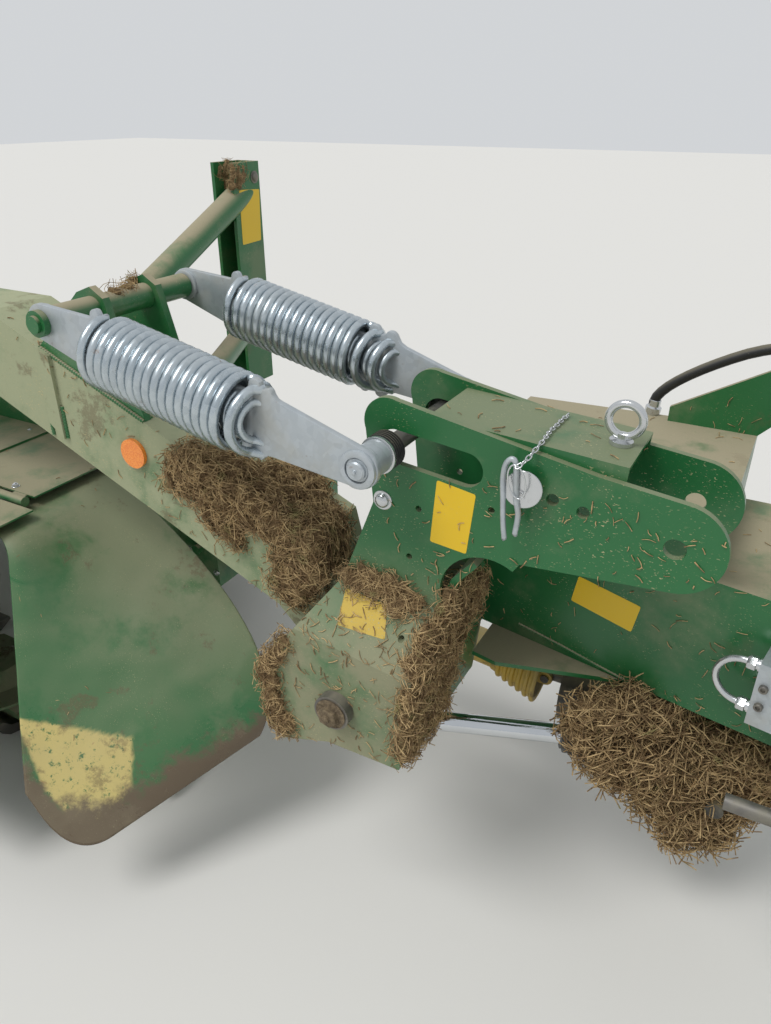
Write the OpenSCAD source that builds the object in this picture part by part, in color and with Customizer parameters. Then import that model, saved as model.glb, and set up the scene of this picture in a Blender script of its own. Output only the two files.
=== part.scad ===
// Rear-mounted disc mower conditioner, parked on its skids and its parking leg.
// X runs along the machine, from the outer end of the cutter bar (minus) to the tractor's centre line (plus).
// Y runs rearwards, away from the tractor. Z is up, with the ground at 0. Sizes are in millimetres.
// The plan positions below are measured from the boom's lift pivot, at x = 0, y = 0.

/* [Boom hinge] */
// Height of the boom's lift pivot above the ground
pivot_z = 590; // [560:5:640]
// Diameter of the lift pivot pin
pivot_pin_d = 50; // [40:1:60]
// Spacing of the two hinge plates, centre to centre
plate_gap = 158; // [150:2:190]
// Thickness of the hinge plates
plate_t = 12; // [8:1:16]
// Spacing of the plates' flared lower parts
flare_gap = 318; // [300:2:340]
// Radius of the rounded end of each plate's arm
arm_end_r = 68; // [55:1:75]
// Diameter of the hole in the arm's end
arm_hole_d = 31; // [20:1:40]
// Width of the slot that the spring pin slides in
slot_w = 56; // [50:1:60]
// Travel of the spring pin along the slot
slot_travel = 125; // [118:1:140]

/* [Boom] */
// Slope of the boom's inner part when the mower stands on the ground, in degrees
boom_slope = 22.8; // [18:0.2:26]
// Width of the boom's box section
boom_w = 156; // [120:2:160]
// Height of the boom's box section
boom_h = 180; // [150:2:200]
// Wall of the boom's box section
boom_wall = 8; // [5:1:12]
// Distance from the lift pivot to the knee where the boom turns level
knee_x = 880; // [820:10:1000]
// Distance from the lift pivot to the mower's hanging pivot
hang_x = 1900; // [1800:10:2000]
// Diameter of the hanging pivot's pin
hang_pin_d = 50; // [40:1:60]

/* [Relief springs] */
// Spacing of the two springs, centre to centre
spring_gap = 360; // [340:5:400]
// Outer diameter of a coil
coil_od = 128; // [112:1:132]
// Diameter of the coil's wire
coil_wire = 18; // [15:0.5:19]
// Gap between one turn of a coil and the next
turn_gap = 1.2; // [0.8:0.1:2]
// Turns in a coil
coil_turns = 17; // [14:1:18]
// Diameter of the tube across the boom that holds the springs' outer ends
cross_tube_d = 48; // [40:1:60]
// Diameter of the pin that holds the springs' inner ends
spring_pin_d = 30; // [24:1:34]

/* [Lift cylinder] */
// Diameter of the piston rod
rod_d = 40; // [30:1:45]
// Outer diameter of the barrel
barrel_d = 72; // [60:1:80]
// Length of the barrel
barrel_len = 470; // [430:5:480]

/* [Headstock] */
// Distance of the tractor's centre line from the lift pivot
hitch_x = 1150; // [1120:10:1200]
// Spacing of the lower hitch pins' shoulders
hitch_spacing = 825; // [683:1:965]
// Diameter of the lower hitch pins
hitch_pin_d = 28; // [22:1:36]
// Free length of a lower hitch pin
hitch_pin_len = 95; // [80:1:110]
// Height of the lower hitch pins
hitch_z = 540; // [500:5:560]
// Height of the top link's hole above the lower hitch pins
mast_h = 610; // [460:5:685]
// Diameter of the top link's hole
top_hole_d = 25.7; // [19:0.1:32]
// Distance of the transport swing's king pin from the lift pivot
king_x = 905; // [890:5:930]
// Diameter of the king pin
king_pin_d = 60; // [50:1:70]

/* [Mower unit] */
// Number of cutting discs
discs = 6; // [4:1:6]
// Distance between disc centres
disc_pitch = 450; // [430:5:470]
// Diameter of the circle that the blade tips cut
blade_circle = 500; // [460:5:520]
// Height of the cutter bar's underside above the ground
bar_z = 30; // [20:1:45]
// Length of the tined conditioner rotor
rotor_len = 2100; // [1900:20:2140]
// Diameter of the circle that the tines turn in
rotor_circle = 480; // [440:5:500]
// Distance of the cutter bar's inner end from the lift pivot
mower_inner_x = 560; // [540:5:600]
// Height of the front guard's top above the ground
guard_top_z = 780; // [700:5:800]
// Thickness of the sheet-metal guards
sheet_t = 4; // [3:1:6]

/* [Hidden] */
$fn = 48;

paint = "#2f7d3a";
zinc = "#a9b0b8";
black = "#1c1d1f";
yellow = "#d9b01c";
orange = "#e2622b";
steel = "#8d8f92";

// Clearances and small sizes that several pieces share
fit = 0.05;
gap = 0.3;
plate_half = plate_gap / 2;
flare_half = flare_gap / 2;

// Points of the hinge plates, [x, z] from the lift pivot
slot_dir = -6.5;
spring_in = [67, 493.5];
spring_out = [-560, 628];
slot_start = spring_in + 6 * [cos(slot_dir), sin(slot_dir)];
slot_end = spring_in + slot_travel * [cos(slot_dir), sin(slot_dir)];
arm_hole = [499, 431];
adjust_hole = [283, 469];
spare_holes = [[326, 463], [371, 454]];
adjust_d = 19;
small_holes = [[115, 395], [236, 423], [100, 303], [109, 166]];

// The boom's centre line, [x, z] from the lift pivot: it passes above the pivot
boom_rise = 131;
function boom_axis_z(d) = boom_rise + d * tan(boom_slope);
knee_z = boom_axis_z(knee_x);
boom_tip_x = hang_x + 90;
hang_z = knee_z;

// The lift cylinder, [x, y, z] from the lift pivot
cyl_eye = [60, 0, -132];
cyl_base = [780, 294, -155];
cyl_yaw = atan2(cyl_base[1] - cyl_eye[1], cyl_base[0] - cyl_eye[0]);
cyl_run = norm([cyl_base[0] - cyl_eye[0], cyl_base[1] - cyl_eye[1]]);
cyl_pitch = atan2(cyl_base[2] - cyl_eye[2], cyl_run);
cyl_length = norm(cyl_base - cyl_eye);
cyl_pin_d = 30;
base_ball_d = 46;

// The mower unit
bar_y = -40;
bar_depth = 190;
bar_h = 55;
disc_y = bar_y - 20;
disc_z = bar_z + bar_h;
bar_rear = bar_y + bar_depth / 2;
blade_rear = disc_y + blade_circle / 2;
bar_end_x = mower_inner_x + discs * disc_pitch;
mower_mid_x = -(mower_inner_x + bar_end_x) / 2;
rotor_y = 370;
rotor_z = 440;
board_y = 915;
board_len = 300;
carrier_y = 250;
carrier_z = 830;
carrier_s = 100;
rotor_side = 40;
frame_inset = (bar_end_x - mower_inner_x - rotor_len) / 2 - rotor_side;
frame_start = mower_inner_x + frame_inset;
frame_end = bar_end_x - frame_inset;
frame_plate_t = 14;
inner_w = frame_end - frame_start - frame_plate_t - 2 * gap;
cover_z = carrier_z - carrier_s / 2 - gap - sheet_t / 2;

// Corners of the end guards' skirts at the top and the bottom: rear end, front corner, inner end
plate_z = 750;
skirt_top = [[40 - frame_start, 101, plate_z], [85 - frame_start, -205, plate_z], [58 - frame_start, -222, plate_z]];
skirt_bottom = [[-280, -60, 300], [-500, -425, 150], [-600, -425, 300]];
front_end_y = -480;
// How far each corner bellies out towards the tractor, half way down
skirt_belly = [170, 0, 0];

// Places in plan, from the lift pivot
king_y = 300;
king_low = 560;
king_high = 965;
king_plate_t = 25;
king_bush_d = king_pin_d + 40;
leg_x = 1320;
leg_y = 400;
leg_s = 60;
outer_end_x = mower_inner_x + bar_end_x + skirt_bottom[0][0];
right_end_x = hitch_x + hitch_spacing / 2 + hitch_pin_len;
mid_x = (right_end_x - outer_end_x) / 2;
mid_y = (front_end_y + board_y + board_len) / 2;

// Moves a piece from the lift pivot's plan position to the middle of the machine
module in_frame() translate([-mid_x, -mid_y, 0]) children();

// The same, for a piece whose heights are measured from the lift pivot
module at_pivot() in_frame() translate([0, 0, pivot_z]) children();

// Extrudes an [x, z] outline along Y, centred on y = 0
module along_y(w) rotate([90, 0, 0]) linear_extrude(height = w, center = true) children();

// Extrudes a [y, z] outline along X, centred on x = 0
module along_x(l) rotate([90, 0, 90]) linear_extrude(height = l, center = true) children();

// Round bar or hole along Y or X, centred
module rod_y(d, l) rotate([90, 0, 0]) cylinder(d = d, h = l, center = true);
module rod_x(d, l) rotate([0, 90, 0]) cylinder(d = d, h = l, center = true);

// Points along an arc, from one angle to another
function arc_points(middle, r, from, to) = [for (i = [0:20]) let (a = from + (to - from) * i / 20)
  middle + r * [cos(a), sin(a)]];

// Flat bar between two [x, z] points, with round ends
module link_2d(a, b, ra, rb) {
  d = norm(b - a);
  turn = atan2(b[1] - a[1], b[0] - a[0]);
  lean = asin((ra - rb) / d);
  polygon(concat(arc_points(a, ra, turn + 90 - lean, turn + 270 + lean),
                 arc_points(b, rb, turn - 90 + lean, turn + 90 - lean)));
}

// A round tube swept along a list of points, for hoses and coils: each ring faces along the path
function unit(v) = v / norm(v);
function path_dir(p, i) = unit(p[min(i + 1, len(p) - 1)] - p[max(i - 1, 0)]);
function ring_side(d, up) = unit(cross(d, up));
module swept(points, d, sides, up) {
  rings = [for (i = [0:len(points) - 1])
    let (t = path_dir(points, i), s = ring_side(t, up), n = cross(s, t))
    [for (k = [0:sides - 1])
      points[i] + d / 2 * (cos(360 * k / sides) * s + sin(360 * k / sides) * n)]];
  last = (len(points) - 1) * sides;
  faces = concat(
    [[for (k = [sides - 1:-1:0]) k]],
    [for (i = [0:len(points) - 2]) for (k = [0:sides - 1])
      let (a = i * sides + k, b = i * sides + (k + 1) % sides) each [[a, b + sides, a + sides], [a, b, b + sides]]],
    [[for (k = [0:sides - 1]) last + k]]);
  polyhedron(points = [for (r = rings) for (p = r) p], faces = faces);
}

// Headstock: the frame that the tractor's three-point linkage carries

module headstock_frame() color(paint) in_frame() {
  half = hitch_spacing / 2;
  arm_x = king_x + 140;
  difference() {
    union() {
      // lower cross tube and the side plates that hold the hitch pins
      translate([hitch_x, 0, hitch_z + 40]) cube([hitch_spacing - 40, 100, 100], center = true);
      for (side = [-1, 1])
        translate([hitch_x + side * (half - 10.3), 0, 0]) along_x(20)
          polygon([[-60, hitch_z - 50], [60, hitch_z - 50], [60, hitch_z + 110], [-20, hitch_z + 150],
                   [-60, hitch_z + 60]]);
      // leaning legs of the A-frame
      for (side = [-1, 1])
        translate([hitch_x, -10, 0]) along_y(60)
          polygon([[side * (half - 40), hitch_z + 60], [side * (half - 130), hitch_z + 60],
                   [side * 37, hitch_z + mast_h - 90], [side * 37, hitch_z + mast_h - 35],
                   [side * 78, hitch_z + mast_h - 35]]);
      // gussets between the legs and the cross tube, and shoulders behind the hitch pins
      for (side = [-1, 1]) {
        translate([hitch_x, 10, 0]) along_y(12)
          polygon([[side * (half - 30), hitch_z + 60], [side * (half - 250), hitch_z + 60],
                   [side * (half - 190), hitch_z + 190]]);
        translate([hitch_x + side * (half - 30), 0, hitch_z]) rod_x(hitch_pin_d + 34, 30);
      }
      // cheeks of the top link bracket
      for (side = [-1, 1])
        translate([hitch_x + side * 45, -20, hitch_z + mast_h]) along_x(16)
          polygon([[-60, -90], [60, -140], [60, 45], [-30, 45], [-60, 15]]);
      // post and arms that carry the king pin
      translate([arm_x, king_y / 2 - 20, hitch_z + 40]) cube([120, king_y + 120, 100], center = true);
      translate([arm_x, king_y, (hitch_z + 990) / 2]) cube([120, 140, 990 - hitch_z], center = true);
      for (z = [king_low, king_high])
        translate([0, 0, z]) linear_extrude(height = king_plate_t) union() {
          translate([king_x, king_y]) circle(d = 130);
          translate([king_x, king_y - 65]) square([arm_x - king_x, 130]);
        }
      // brace from the post to the top link bracket
      translate([0, 0, 940]) linear_extrude(height = 50)
        polygon([[arm_x - 60, king_y + 40], [arm_x + 60, king_y + 40], [hitch_x + 80, 20], [hitch_x + 80, -30],
                 [hitch_x - 60, -30]]);
      // sleeve of the parking leg
      translate([leg_x, leg_y, 500]) cube([76, 76, 260], center = true);
      translate([leg_x, (leg_y + 40) / 2, 560]) cube([60, leg_y - 60, 60], center = true);
    }
    translate([king_x, king_y, 0]) cylinder(d = king_pin_d + 2 * fit, h = 1400);
    translate([hitch_x, -20, hitch_z + mast_h]) rod_x(top_hole_d, 200);
    translate([leg_x, leg_y, 500]) cube([leg_s + 2 * gap, leg_s + 2 * gap, 300], center = true);
  }
}

module king_pin() color(steel) in_frame() translate([king_x, king_y, 0]) {
  translate([0, 0, king_low - 20]) cylinder(d = king_pin_d, h = king_high - king_low + 60);
  translate([0, 0, king_high + king_plate_t + gap]) cylinder(d = king_pin_d + 30, h = 16);
}

module lower_hitch_pins() color(steel) in_frame() {
  for (side = [-1, 1])
    translate([hitch_x + side * (hitch_spacing / 2 + hitch_pin_len / 2), 0, hitch_z]) rod_x(hitch_pin_d, hitch_pin_len);
}

module parking_leg() color(paint) in_frame() translate([leg_x, leg_y, 0]) {
  difference() {
    translate([-leg_s / 2, -leg_s / 2, 8]) cube([leg_s, leg_s, 760]);
    for (z = [430:55:740]) translate([0, 0, z]) rod_y(16, 100);
  }
  translate([-100, -90, 0]) cube([200, 180, 12]);
}

// Swing beam: a wedge-shaped box that widens towards the king pin, and what is welded to it

beam_low = 590;
beam_high = 950;
beam_step = 860;
beam_plan = [[60, 221], [545, 135], [545, 640], [60, 600]];
neck_plan = [[545, 135], [695, 109], [868, 252], [868, 348], [640, 480], [545, 480]];

module main_beam() color(paint) in_frame() {
  difference() {
    union() {
      translate([0, 0, beam_low]) linear_extrude(height = beam_high - beam_low) polygon(beam_plan);
      translate([0, 0, beam_low]) linear_extrude(height = beam_step - beam_low) polygon(neck_plan);
      translate([king_x, king_y, beam_low]) cylinder(d = king_bush_d, h = king_high - beam_low - 5);
      // feet that join the box to the rear hinge plate, below and above its bend
      translate([0, 0, beam_low]) linear_extrude(height = 110)
        polygon([[60, flare_half + plate_t / 2], [125, flare_half + plate_t / 2], [125, 215], [60, 225]]);
      translate([0, 0, beam_low + 260]) linear_extrude(height = 85)
        polygon([[60, plate_half + plate_t / 2], [150, plate_half + plate_t / 2], [150, 210], [60, 225]]);
      // raised gusset on the box's top
      translate([0, 0, beam_high - 1]) along_y_at(600, 12)
        polygon([[368, 0], [545, 0], [600, 60], [600, 140], [560, 146], [368, 32]]);
      // bracket of the lift cylinder's base, under the box
      translate([cyl_base[0], cyl_base[1], pivot_z + cyl_base[2]]) {
        cylinder(d = 29, h = 100, center = true);
        sphere(d = base_ball_d);
      }
      for (z = [-50, 30])
        translate([cyl_base[0], cyl_base[1] - 30, pivot_z + cyl_base[2] + z]) cube([58, 60, 20]);
      translate([cyl_base[0] + 42, cyl_base[1] - 30, pivot_z + cyl_base[2] - 50])
        cube([16, 60, beam_low - pivot_z - cyl_base[2] + 51]);
      // triangular flange under the box's inner end
      translate([0, 0, beam_low - 8]) linear_extrude(height = 9)
        polygon([[150, 212], [440, 158], [202, 90], [150, 100]]);
    }
    translate([king_x, king_y, 0]) cylinder(d = king_pin_d + 2 * fit, h = 1400);
  }
}

module along_y_at(y, w) translate([0, y, 0]) along_y(w) children();

// Outline of a hinge plate, [x, z] from the lift pivot: an arm that reaches towards the king pin, and
// a deep lower part round the pivot
module plate_outline() {
  difference() {
    polygon(concat(
      arc_points([60, 527], 42, 200, 70), [[386, 512]], arc_points(arm_hole, arm_end_r, 87, -85), [[287, 343]],
      arc_points([237, 258], 80, 60, 212),
      [[157, 208], [127, -93], [-23, -96], [-128, -134], [-169, 36], [-136, 72], [-29, 223], [33, 387]]));
    translate(arm_hole) circle(d = arm_hole_d);
    translate(adjust_hole) circle(d = adjust_d);
    for (p = spare_holes) translate(p) circle(d = adjust_d);
    for (p = small_holes) translate(p) circle(d = 11);
    circle(d = pivot_pin_d + 2 * fit);
    link_2d(slot_start, slot_end, slot_w / 2, slot_w / 2);
  }
}

// Bent sheet, [y, z]: plate_half apart above the bend, flare_half apart below it
bend_tilt = 8;
bend_top = 235;
bend_low = 130;
module bend_profile(t)
  polygon([[plate_half - t / 2, 800], [plate_half + t / 2, 800], [plate_half + t / 2, bend_top],
           [flare_half + t / 2, bend_low], [flare_half + t / 2, -300], [flare_half - t / 2, -300],
           [flare_half - t / 2, bend_low - 2], [plate_half - t / 2, bend_top - 2]]);

module hinge_plate(side) color(paint) at_pivot() mirror([0, side < 0 ? 1 : 0, 0]) intersection() {
  along_y(600) plate_outline();
  rotate([0, bend_tilt, 0]) along_x(1600) bend_profile(plate_t);
}
module hinge_plate_front() hinge_plate(-1);
module hinge_plate_rear() hinge_plate(1);

// Web between the plates, along their inner edge
module clevis_web() color(paint) at_pivot() intersection() {
  along_y(600) polygon([[127, -92], [157, 208], [181, 269], [215, 310], [207, 318], [172, 275], [147, 210],
                        [117, -92]]);
  rotate([0, bend_tilt, 0]) along_x(1600)
    polygon([for (side = [1, -1]) for (p = side > 0 ? web_half() : reversed(web_half())) [side * p[0], p[1]]]);
}
function web_half() = [[plate_half - plate_t / 2, 800], [plate_half - plate_t / 2, bend_top - 2],
                       [flare_half - plate_t / 2, bend_low - 2], [flare_half - plate_t / 2, -300]];
function reversed(v) = [for (i = [len(v) - 1:-1:0]) v[i]];

// Folded channel that spaces the plates' arms, with a lifting eye screwed into its web
channel_start = [122, 548];
channel_end = [422, 529];
channel_depth = 30;
channel_t = 6;
channel_tilt = atan2(channel_start[1] - channel_end[1], channel_end[0] - channel_start[0]);
eye_bar = 12;
eye_ring_r = 24;
eye_shank_d = 16;
eye_along = 270;
module on_channel() at_pivot() translate([channel_start[0], 0, channel_start[1]]) rotate([0, channel_tilt, 0])
  children();

module spacer_channel() color(paint) on_channel() {
  w = plate_gap - plate_t;
  l = norm(channel_end - channel_start);
  difference() {
    translate([0, -w / 2, -channel_depth]) cube([l, w, channel_depth]);
    translate([-1, channel_t - w / 2, -channel_depth - 1])
      cube([l + 2, w - 2 * channel_t, channel_depth + 1 - channel_t]);
    translate([eye_along, 0, -20]) cylinder(d = eye_shank_d + 2 * gap, h = 40);
  }
}

module lifting_eye() color(zinc) on_channel() translate([eye_along, 0, gap]) {
  translate([0, 0, eye_ring_r + eye_bar]) rotate([90, 0, 0])
    rotate_extrude() translate([eye_ring_r, 0]) circle(d = eye_bar);
  translate([0, 0, -24]) cylinder(d = eye_shank_d, h = 40);
  cylinder(d = 34, h = 6);
  translate([0, 0, -channel_t - 2 * gap - 12]) cylinder(d = 27, h = 12, $fn = 6);
}

module adjusting_pin() color(zinc) at_pivot() translate([adjust_hole[0], 0, adjust_hole[1]]) {
  rod_y(adjust_d - 2 * fit, plate_gap + 60);
  for (side = [-1, 1]) translate([0, side * (plate_half + plate_t / 2 + 5.3), 0]) rod_y(34, 8);
}

module pivot_pin() color(steel) at_pivot() {
  rod_y(pivot_pin_d, flare_gap + plate_t + 30);
  for (side = [-1, 1])
    translate([0, side * (flare_half + plate_t / 2 + 10.3), 0]) rod_y(pivot_pin_d + 20, 20);
}

side_yaw = atan2(beam_plan[0][1] - beam_plan[1][1], beam_plan[1][0] - beam_plan[0][0]);
block_place = [652, 116, 664];
module on_beam_side() in_frame() translate(block_place) rotate(-side_yaw) children();

pipe_d = 12;
pipe_z = [18, 102];
module valve_block() color(zinc) on_beam_side() {
  difference() {
    translate([0, -62, 0]) cube([80, 61.7, 120]);
    for (z = pipe_z) translate([45, -40, z]) rod_x(16, 200);
  }
}

module steel_pipe() color(zinc) on_beam_side() {
  for (z = pipe_z) translate([-9.3, -40, z]) {
    rod_x(pipe_d, 24.8);
    rod_x(24, 18);
  }
  translate([-21.7, -40, (pipe_z[0] + pipe_z[1]) / 2]) rotate([90, 0, 0]) rotate([0, 0, 90])
    rotate_extrude(angle = 180) translate([(pipe_z[1] - pipe_z[0]) / 2, 0]) circle(d = pipe_d);
}

// Hoses that the beam carries from end to end
hose_d = 22;
hose_top = [[330, 622, 956], [334, 622, 990], [370, 622, 1030], [440, 621, 1078], [520, 618, 1118], [600, 600, 1136],
            [680, 560, 1110], [738, 505, 1040], [752, 462, 950], [752, 440, 890], [752, 430, 866]];
hose_side = [[690, 80, 790], [692, 74, 830], [704, 80, 880], [722, 104, 920], [740, 150, 944], [756, 200, 930],
             [764, 240, 895], [764, 250, 866]];
module hydraulic_hoses() color(black) in_frame() {
  swept(hose_top, hose_d, 10, [0, 1, 0]);
  swept(hose_side, hose_d, 10, [1, 0, 0]);
  for (p = [[hose_top[0], beam_high], [hose_top[len(hose_top) - 1], beam_step],
            [hose_side[len(hose_side) - 1], beam_step]])
    translate([p[0][0], p[0][1], p[1] + gap]) cylinder(d = 34, h = 14);
  translate([hose_side[0][0], hose_side[0][1], block_place[2] + 120 + gap]) cylinder(d = 30, h = 14);
}

// Drive: the input gearbox hangs under the beam, and a telescopic shaft runs to the mower's gearbox
drive_y = 400;
drive_z = 350;
joint_x = 230;
joint_pin_d = 20;
inner_tube_d = 60;
box_x = 640;
mower_input = [-frame_start + 180, drive_y, 440];

module input_gearbox() color(black) in_frame() {
  translate([box_x - 90, drive_y - 75, drive_z - 95]) cube([180, 150, 190]);
  translate([box_x - 60, drive_y - 60, drive_z + 80]) cube([120, 120, beam_low - drive_z - 80 - 0.3]);
  translate([box_x, drive_y - 75 - 20, drive_z - 20]) rod_y(110, 42);
  translate([box_x, drive_y - 75, drive_z - 20]) {
    rod_y(150, 20);
    for (a = [30:60:330]) rotate([0, a, 0]) translate([0, -8, 64]) rod_y(14, 16);
  }
  for (i = [-2:2]) translate([box_x + i * 32 - 4, drive_y - 70, drive_z - 107]) cube([8, 140, 14]);
  translate([box_x, drive_y - 75 - 85, drive_z - 20]) rod_y(34.8, 120);
  translate([(joint_x + 70 + box_x) / 2, drive_y, drive_z]) rod_x(84, box_x - joint_x - 70);
  translate([joint_x + 52, drive_y, drive_z]) rotate([0, 90, 0]) cylinder(d1 = 190, d2 = 84, h = 80);
  // eye and pin that the telescopic shaft swings on
  translate([joint_x, drive_y, drive_z]) {
    rod_y(40, 20);
    rod_y(joint_pin_d, 60);
    translate([30, 0, 0]) rod_x(30, 60);
  }
}

drive_dir = mower_input - [joint_x, drive_y, drive_z];
drive_run = norm(drive_dir);
drive_tilt = atan2(drive_dir[2], -drive_dir[0]);
module on_drive() in_frame() translate([joint_x, drive_y, drive_z]) rotate([0, drive_tilt, 0]) mirror([1, 0, 0])
  children();

module driveline_outer() color(yellow) on_drive() {
  translate([10, 0, 0]) rotate([0, 90, 0]) difference() {
    union() {
      for (i = [0:4]) translate([0, 0, i * 24]) cylinder(d1 = 150 - i * 12, d2 = 138 - i * 12, h = 24.01);
      translate([0, 0, 115]) cylinder(d = 84, h = 190);
    }
    translate([0, 0, 110]) cylinder(d = inner_tube_d + 2 * fit, h = 300);
    translate([0, 0, -1]) cylinder(d1 = 136, d2 = 80, h = 100);
  }
  translate([28, 0, 0]) rotate([0, 90, 0]) cylinder(d = 44, h = 87);
  for (side = [-1, 1]) translate([0, side * 20, 0]) along_y(10) difference() {
    link_2d([0, 0], [44, 0], 18, 18);
    circle(d = joint_pin_d + 2 * fit);
  }
}

module driveline_inner() color(yellow) on_drive() {
  translate([190, 0, 0]) rotate([0, 90, 0]) cylinder(d = inner_tube_d, h = drive_run - 190 - 130);
  translate([drive_run - 130, 0, 0]) rotate([0, 90, 0]) cylinder(d1 = 84, d2 = 140, h = 100);
}

// The lift cylinder, along +X from its rod's eye
module along_cylinder() at_pivot() translate(cyl_eye) rotate([0, 0, cyl_yaw]) rotate([0, -cyl_pitch, 0]) children();

// The rod's eye sits square on the boom's pin, with play for the turn of the barrel
rod_eye_d = 62;
module cylinder_rod() color(zinc) difference() {
  union() {
    along_cylinder() translate([10, 0, 0]) rotate([0, 90, 0]) cylinder(d = rod_d, h = cyl_length - 70);
    at_pivot() translate(cyl_eye) rod_y(rod_eye_d, 40);
  }
  at_pivot() translate(cyl_eye) rod_y(cyl_pin_d + 4, 80);
}

// The barrel's eye holds a ball on the upright base pin
module cylinder_barrel() color(black) along_cylinder() {
  start = cyl_length - barrel_len;
  difference() {
    union() {
      translate([start, 0, 0]) rotate([0, 90, 0]) cylinder(d = barrel_d, h = barrel_len - 50);
      translate([start - 6, 0, 0]) rotate([0, 90, 0]) cylinder(d = barrel_d - 14, h = 20);
      translate([start + 12, 0, 0]) rotate([0, 90, 0]) cylinder(d = barrel_d + 8, h = 34);
      translate([cyl_length, 0, 0]) cylinder(d = 70, h = 32, center = true);
      translate([cyl_length - 62, -22, -16]) cube([40, 44, 32]);
      for (x = [start + 60, cyl_length - 80]) translate([x, 0, 0]) cylinder(d = 30, h = barrel_d / 2 + 14);
    }
    translate([start - 10, 0, 0]) rotate([0, 90, 0]) cylinder(d = rod_d + 2 * fit, h = barrel_len - 46);
    translate([cyl_length, 0, 0]) {
      sphere(d = base_ball_d + 2 * fit);
      cylinder(d = base_ball_d - 8, h = 60, center = true);
    }
  }
}

// Boom

// The beam's side view, [x, z] from the lift pivot
module boom_outline() {
  h = boom_h / 2;
  up = h / cos(boom_slope);
  k = h * tan(boom_slope / 2);
  polygon([[-100, boom_axis_z(100) + up], [-45, boom_axis_z(45) - up], [-knee_x - k, knee_z - h],
           [-boom_tip_x, knee_z - h], [-boom_tip_x, knee_z + h], [-knee_x + k, knee_z + h]]);
}

module boom_beam() color(paint) at_pivot() difference() {
  union() {
    along_y(boom_w) boom_outline();
    // lugs from the box section down to the pivot bush and the cylinder's eye
    for (side = [-1, 1])
      translate([0, side * 56, 0]) along_y(20) {
        link_2d([0, 0], [-130, 150], 66, 80);
        link_2d([0, 0], [cyl_eye[0], cyl_eye[2]], 66, 40);
      }
    translate([cyl_eye[0], 0, cyl_eye[2]]) rod_y(cyl_pin_d, 136);
    rod_y(96, flare_gap - plate_t - 10);
    translate([-hang_x, 0, hang_z]) rod_y(110, boom_w + 10);
    // cap on the outer end
    translate([-boom_tip_x - 3.9, 0, knee_z]) cube([8, boom_w + 6, boom_h + 12], center = true);
    // straps beside the spring lugs
    for (side = [-1, 1])
      translate([-715, side * (boom_w / 2 + 4), 0]) along_y(8)
        polygon([[-18, boom_axis_z(733) - 60], [18, boom_axis_z(697) - 75], [18, boom_axis_z(697) + 100],
                 [-18, boom_axis_z(733) + 100]]);
  }
  rod_y(pivot_pin_d + 2 * fit, 400);
  translate([-hang_x, 0, hang_z]) rod_y(hang_pin_d + 2 * fit, 400);
}

// Lugs on the boom's top with the tube across them that carries both springs
module spring_lugs() color(paint) at_pivot() {
  base = boom_h / 2 / cos(boom_slope);
  for (side = [-1, 1])
    translate([0, side * 66, 0]) along_y(16) difference() {
      polygon([[-730, boom_axis_z(730) + base + 0.3], [-470, boom_axis_z(470) + base + 0.3], [-530, 650],
               [-560, 668], [-595, 655]]);
      translate(spring_out) circle(d = cross_tube_d);
    }
  translate([spring_out[0], 0, spring_out[1]]) {
    rod_y(cross_tube_d, spring_gap - 30);
    rod_y(outer_eye_d, spring_gap + 50);
    for (side = [-1, 1]) translate([0, side * (spring_gap / 2 + spring_plate_t / 2 + 6.3), 0]) rod_y(46, 12);
  }
}

post_x = -712.5;
post_y = 551;
post_low = 885;
post_high = 1425;
post_w = 65;
post_d = 100;
post_t = 9;
brace_pad_t = 20;
brace_pad_y = boom_w / 2 + gap + brace_pad_t / 2;
module brace(a, b, d) {
  v = b - a;
  translate(a) rotate([0, acos(v[2] / norm(v)), atan2(v[1], v[0])]) cylinder(d = d, h = norm(v));
}
module rear_post() color(paint) in_frame() {
  difference() {
    translate([post_x - post_w / 2, post_y - post_d / 2, post_low]) cube([post_w, post_d, post_high - post_low]);
    translate([post_x - post_w / 2 + post_t, post_y - post_d / 2 - 1, post_low - 1])
      cube([post_w - 2 * post_t, post_d - post_t + 1, post_high - post_low + 2]);
  }
  brace([-640, brace_pad_y + 4, 1180], [post_x, post_y + post_d / 2 - post_t, post_high - 60], 60);
  brace([-488, brace_pad_y + 4, 1020], [post_x, post_y + post_d / 2 - post_t, 1050], 50);
  translate([-488, brace_pad_y, 985]) cube([60, brace_pad_t, 70], center = true);
  translate([-640, brace_pad_y, 1140]) cube([90, brace_pad_t, 120], center = true);
}

module side_reflector() color(orange) at_pivot() {
  translate([-506, -boom_w / 2 - 4.3, 357]) rod_y(60, 8);
}

// Relief springs: coils hooked to flat end plates

spring_len = norm(spring_in - spring_out);
spring_tilt = atan2(spring_out[1] - spring_in[1], spring_in[0] - spring_out[0]);
coil_start = 125;
coil_len = coil_turns * (coil_wire + turn_gap);
coil_r = (coil_od - coil_wire) / 2;
coil_points = [for (i = [0:coil_turns * 12])
  [coil_start + coil_len * i / (coil_turns * 12), coil_r * cos(30 * i), coil_r * sin(30 * i)]];

// Along +X from the springs' outer pin
module along_spring() at_pivot() translate([spring_out[0], 0, spring_out[1]]) rotate([0, spring_tilt, 0]) children();

module spring_coil(side) color(zinc) along_spring() translate([0, side * spring_gap / 2, 0])
  swept(coil_points, coil_wire, 6, [1, 0, 0]);
module spring_coil_front() spring_coil(-1);
module spring_coil_rear() spring_coil(1);

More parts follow.
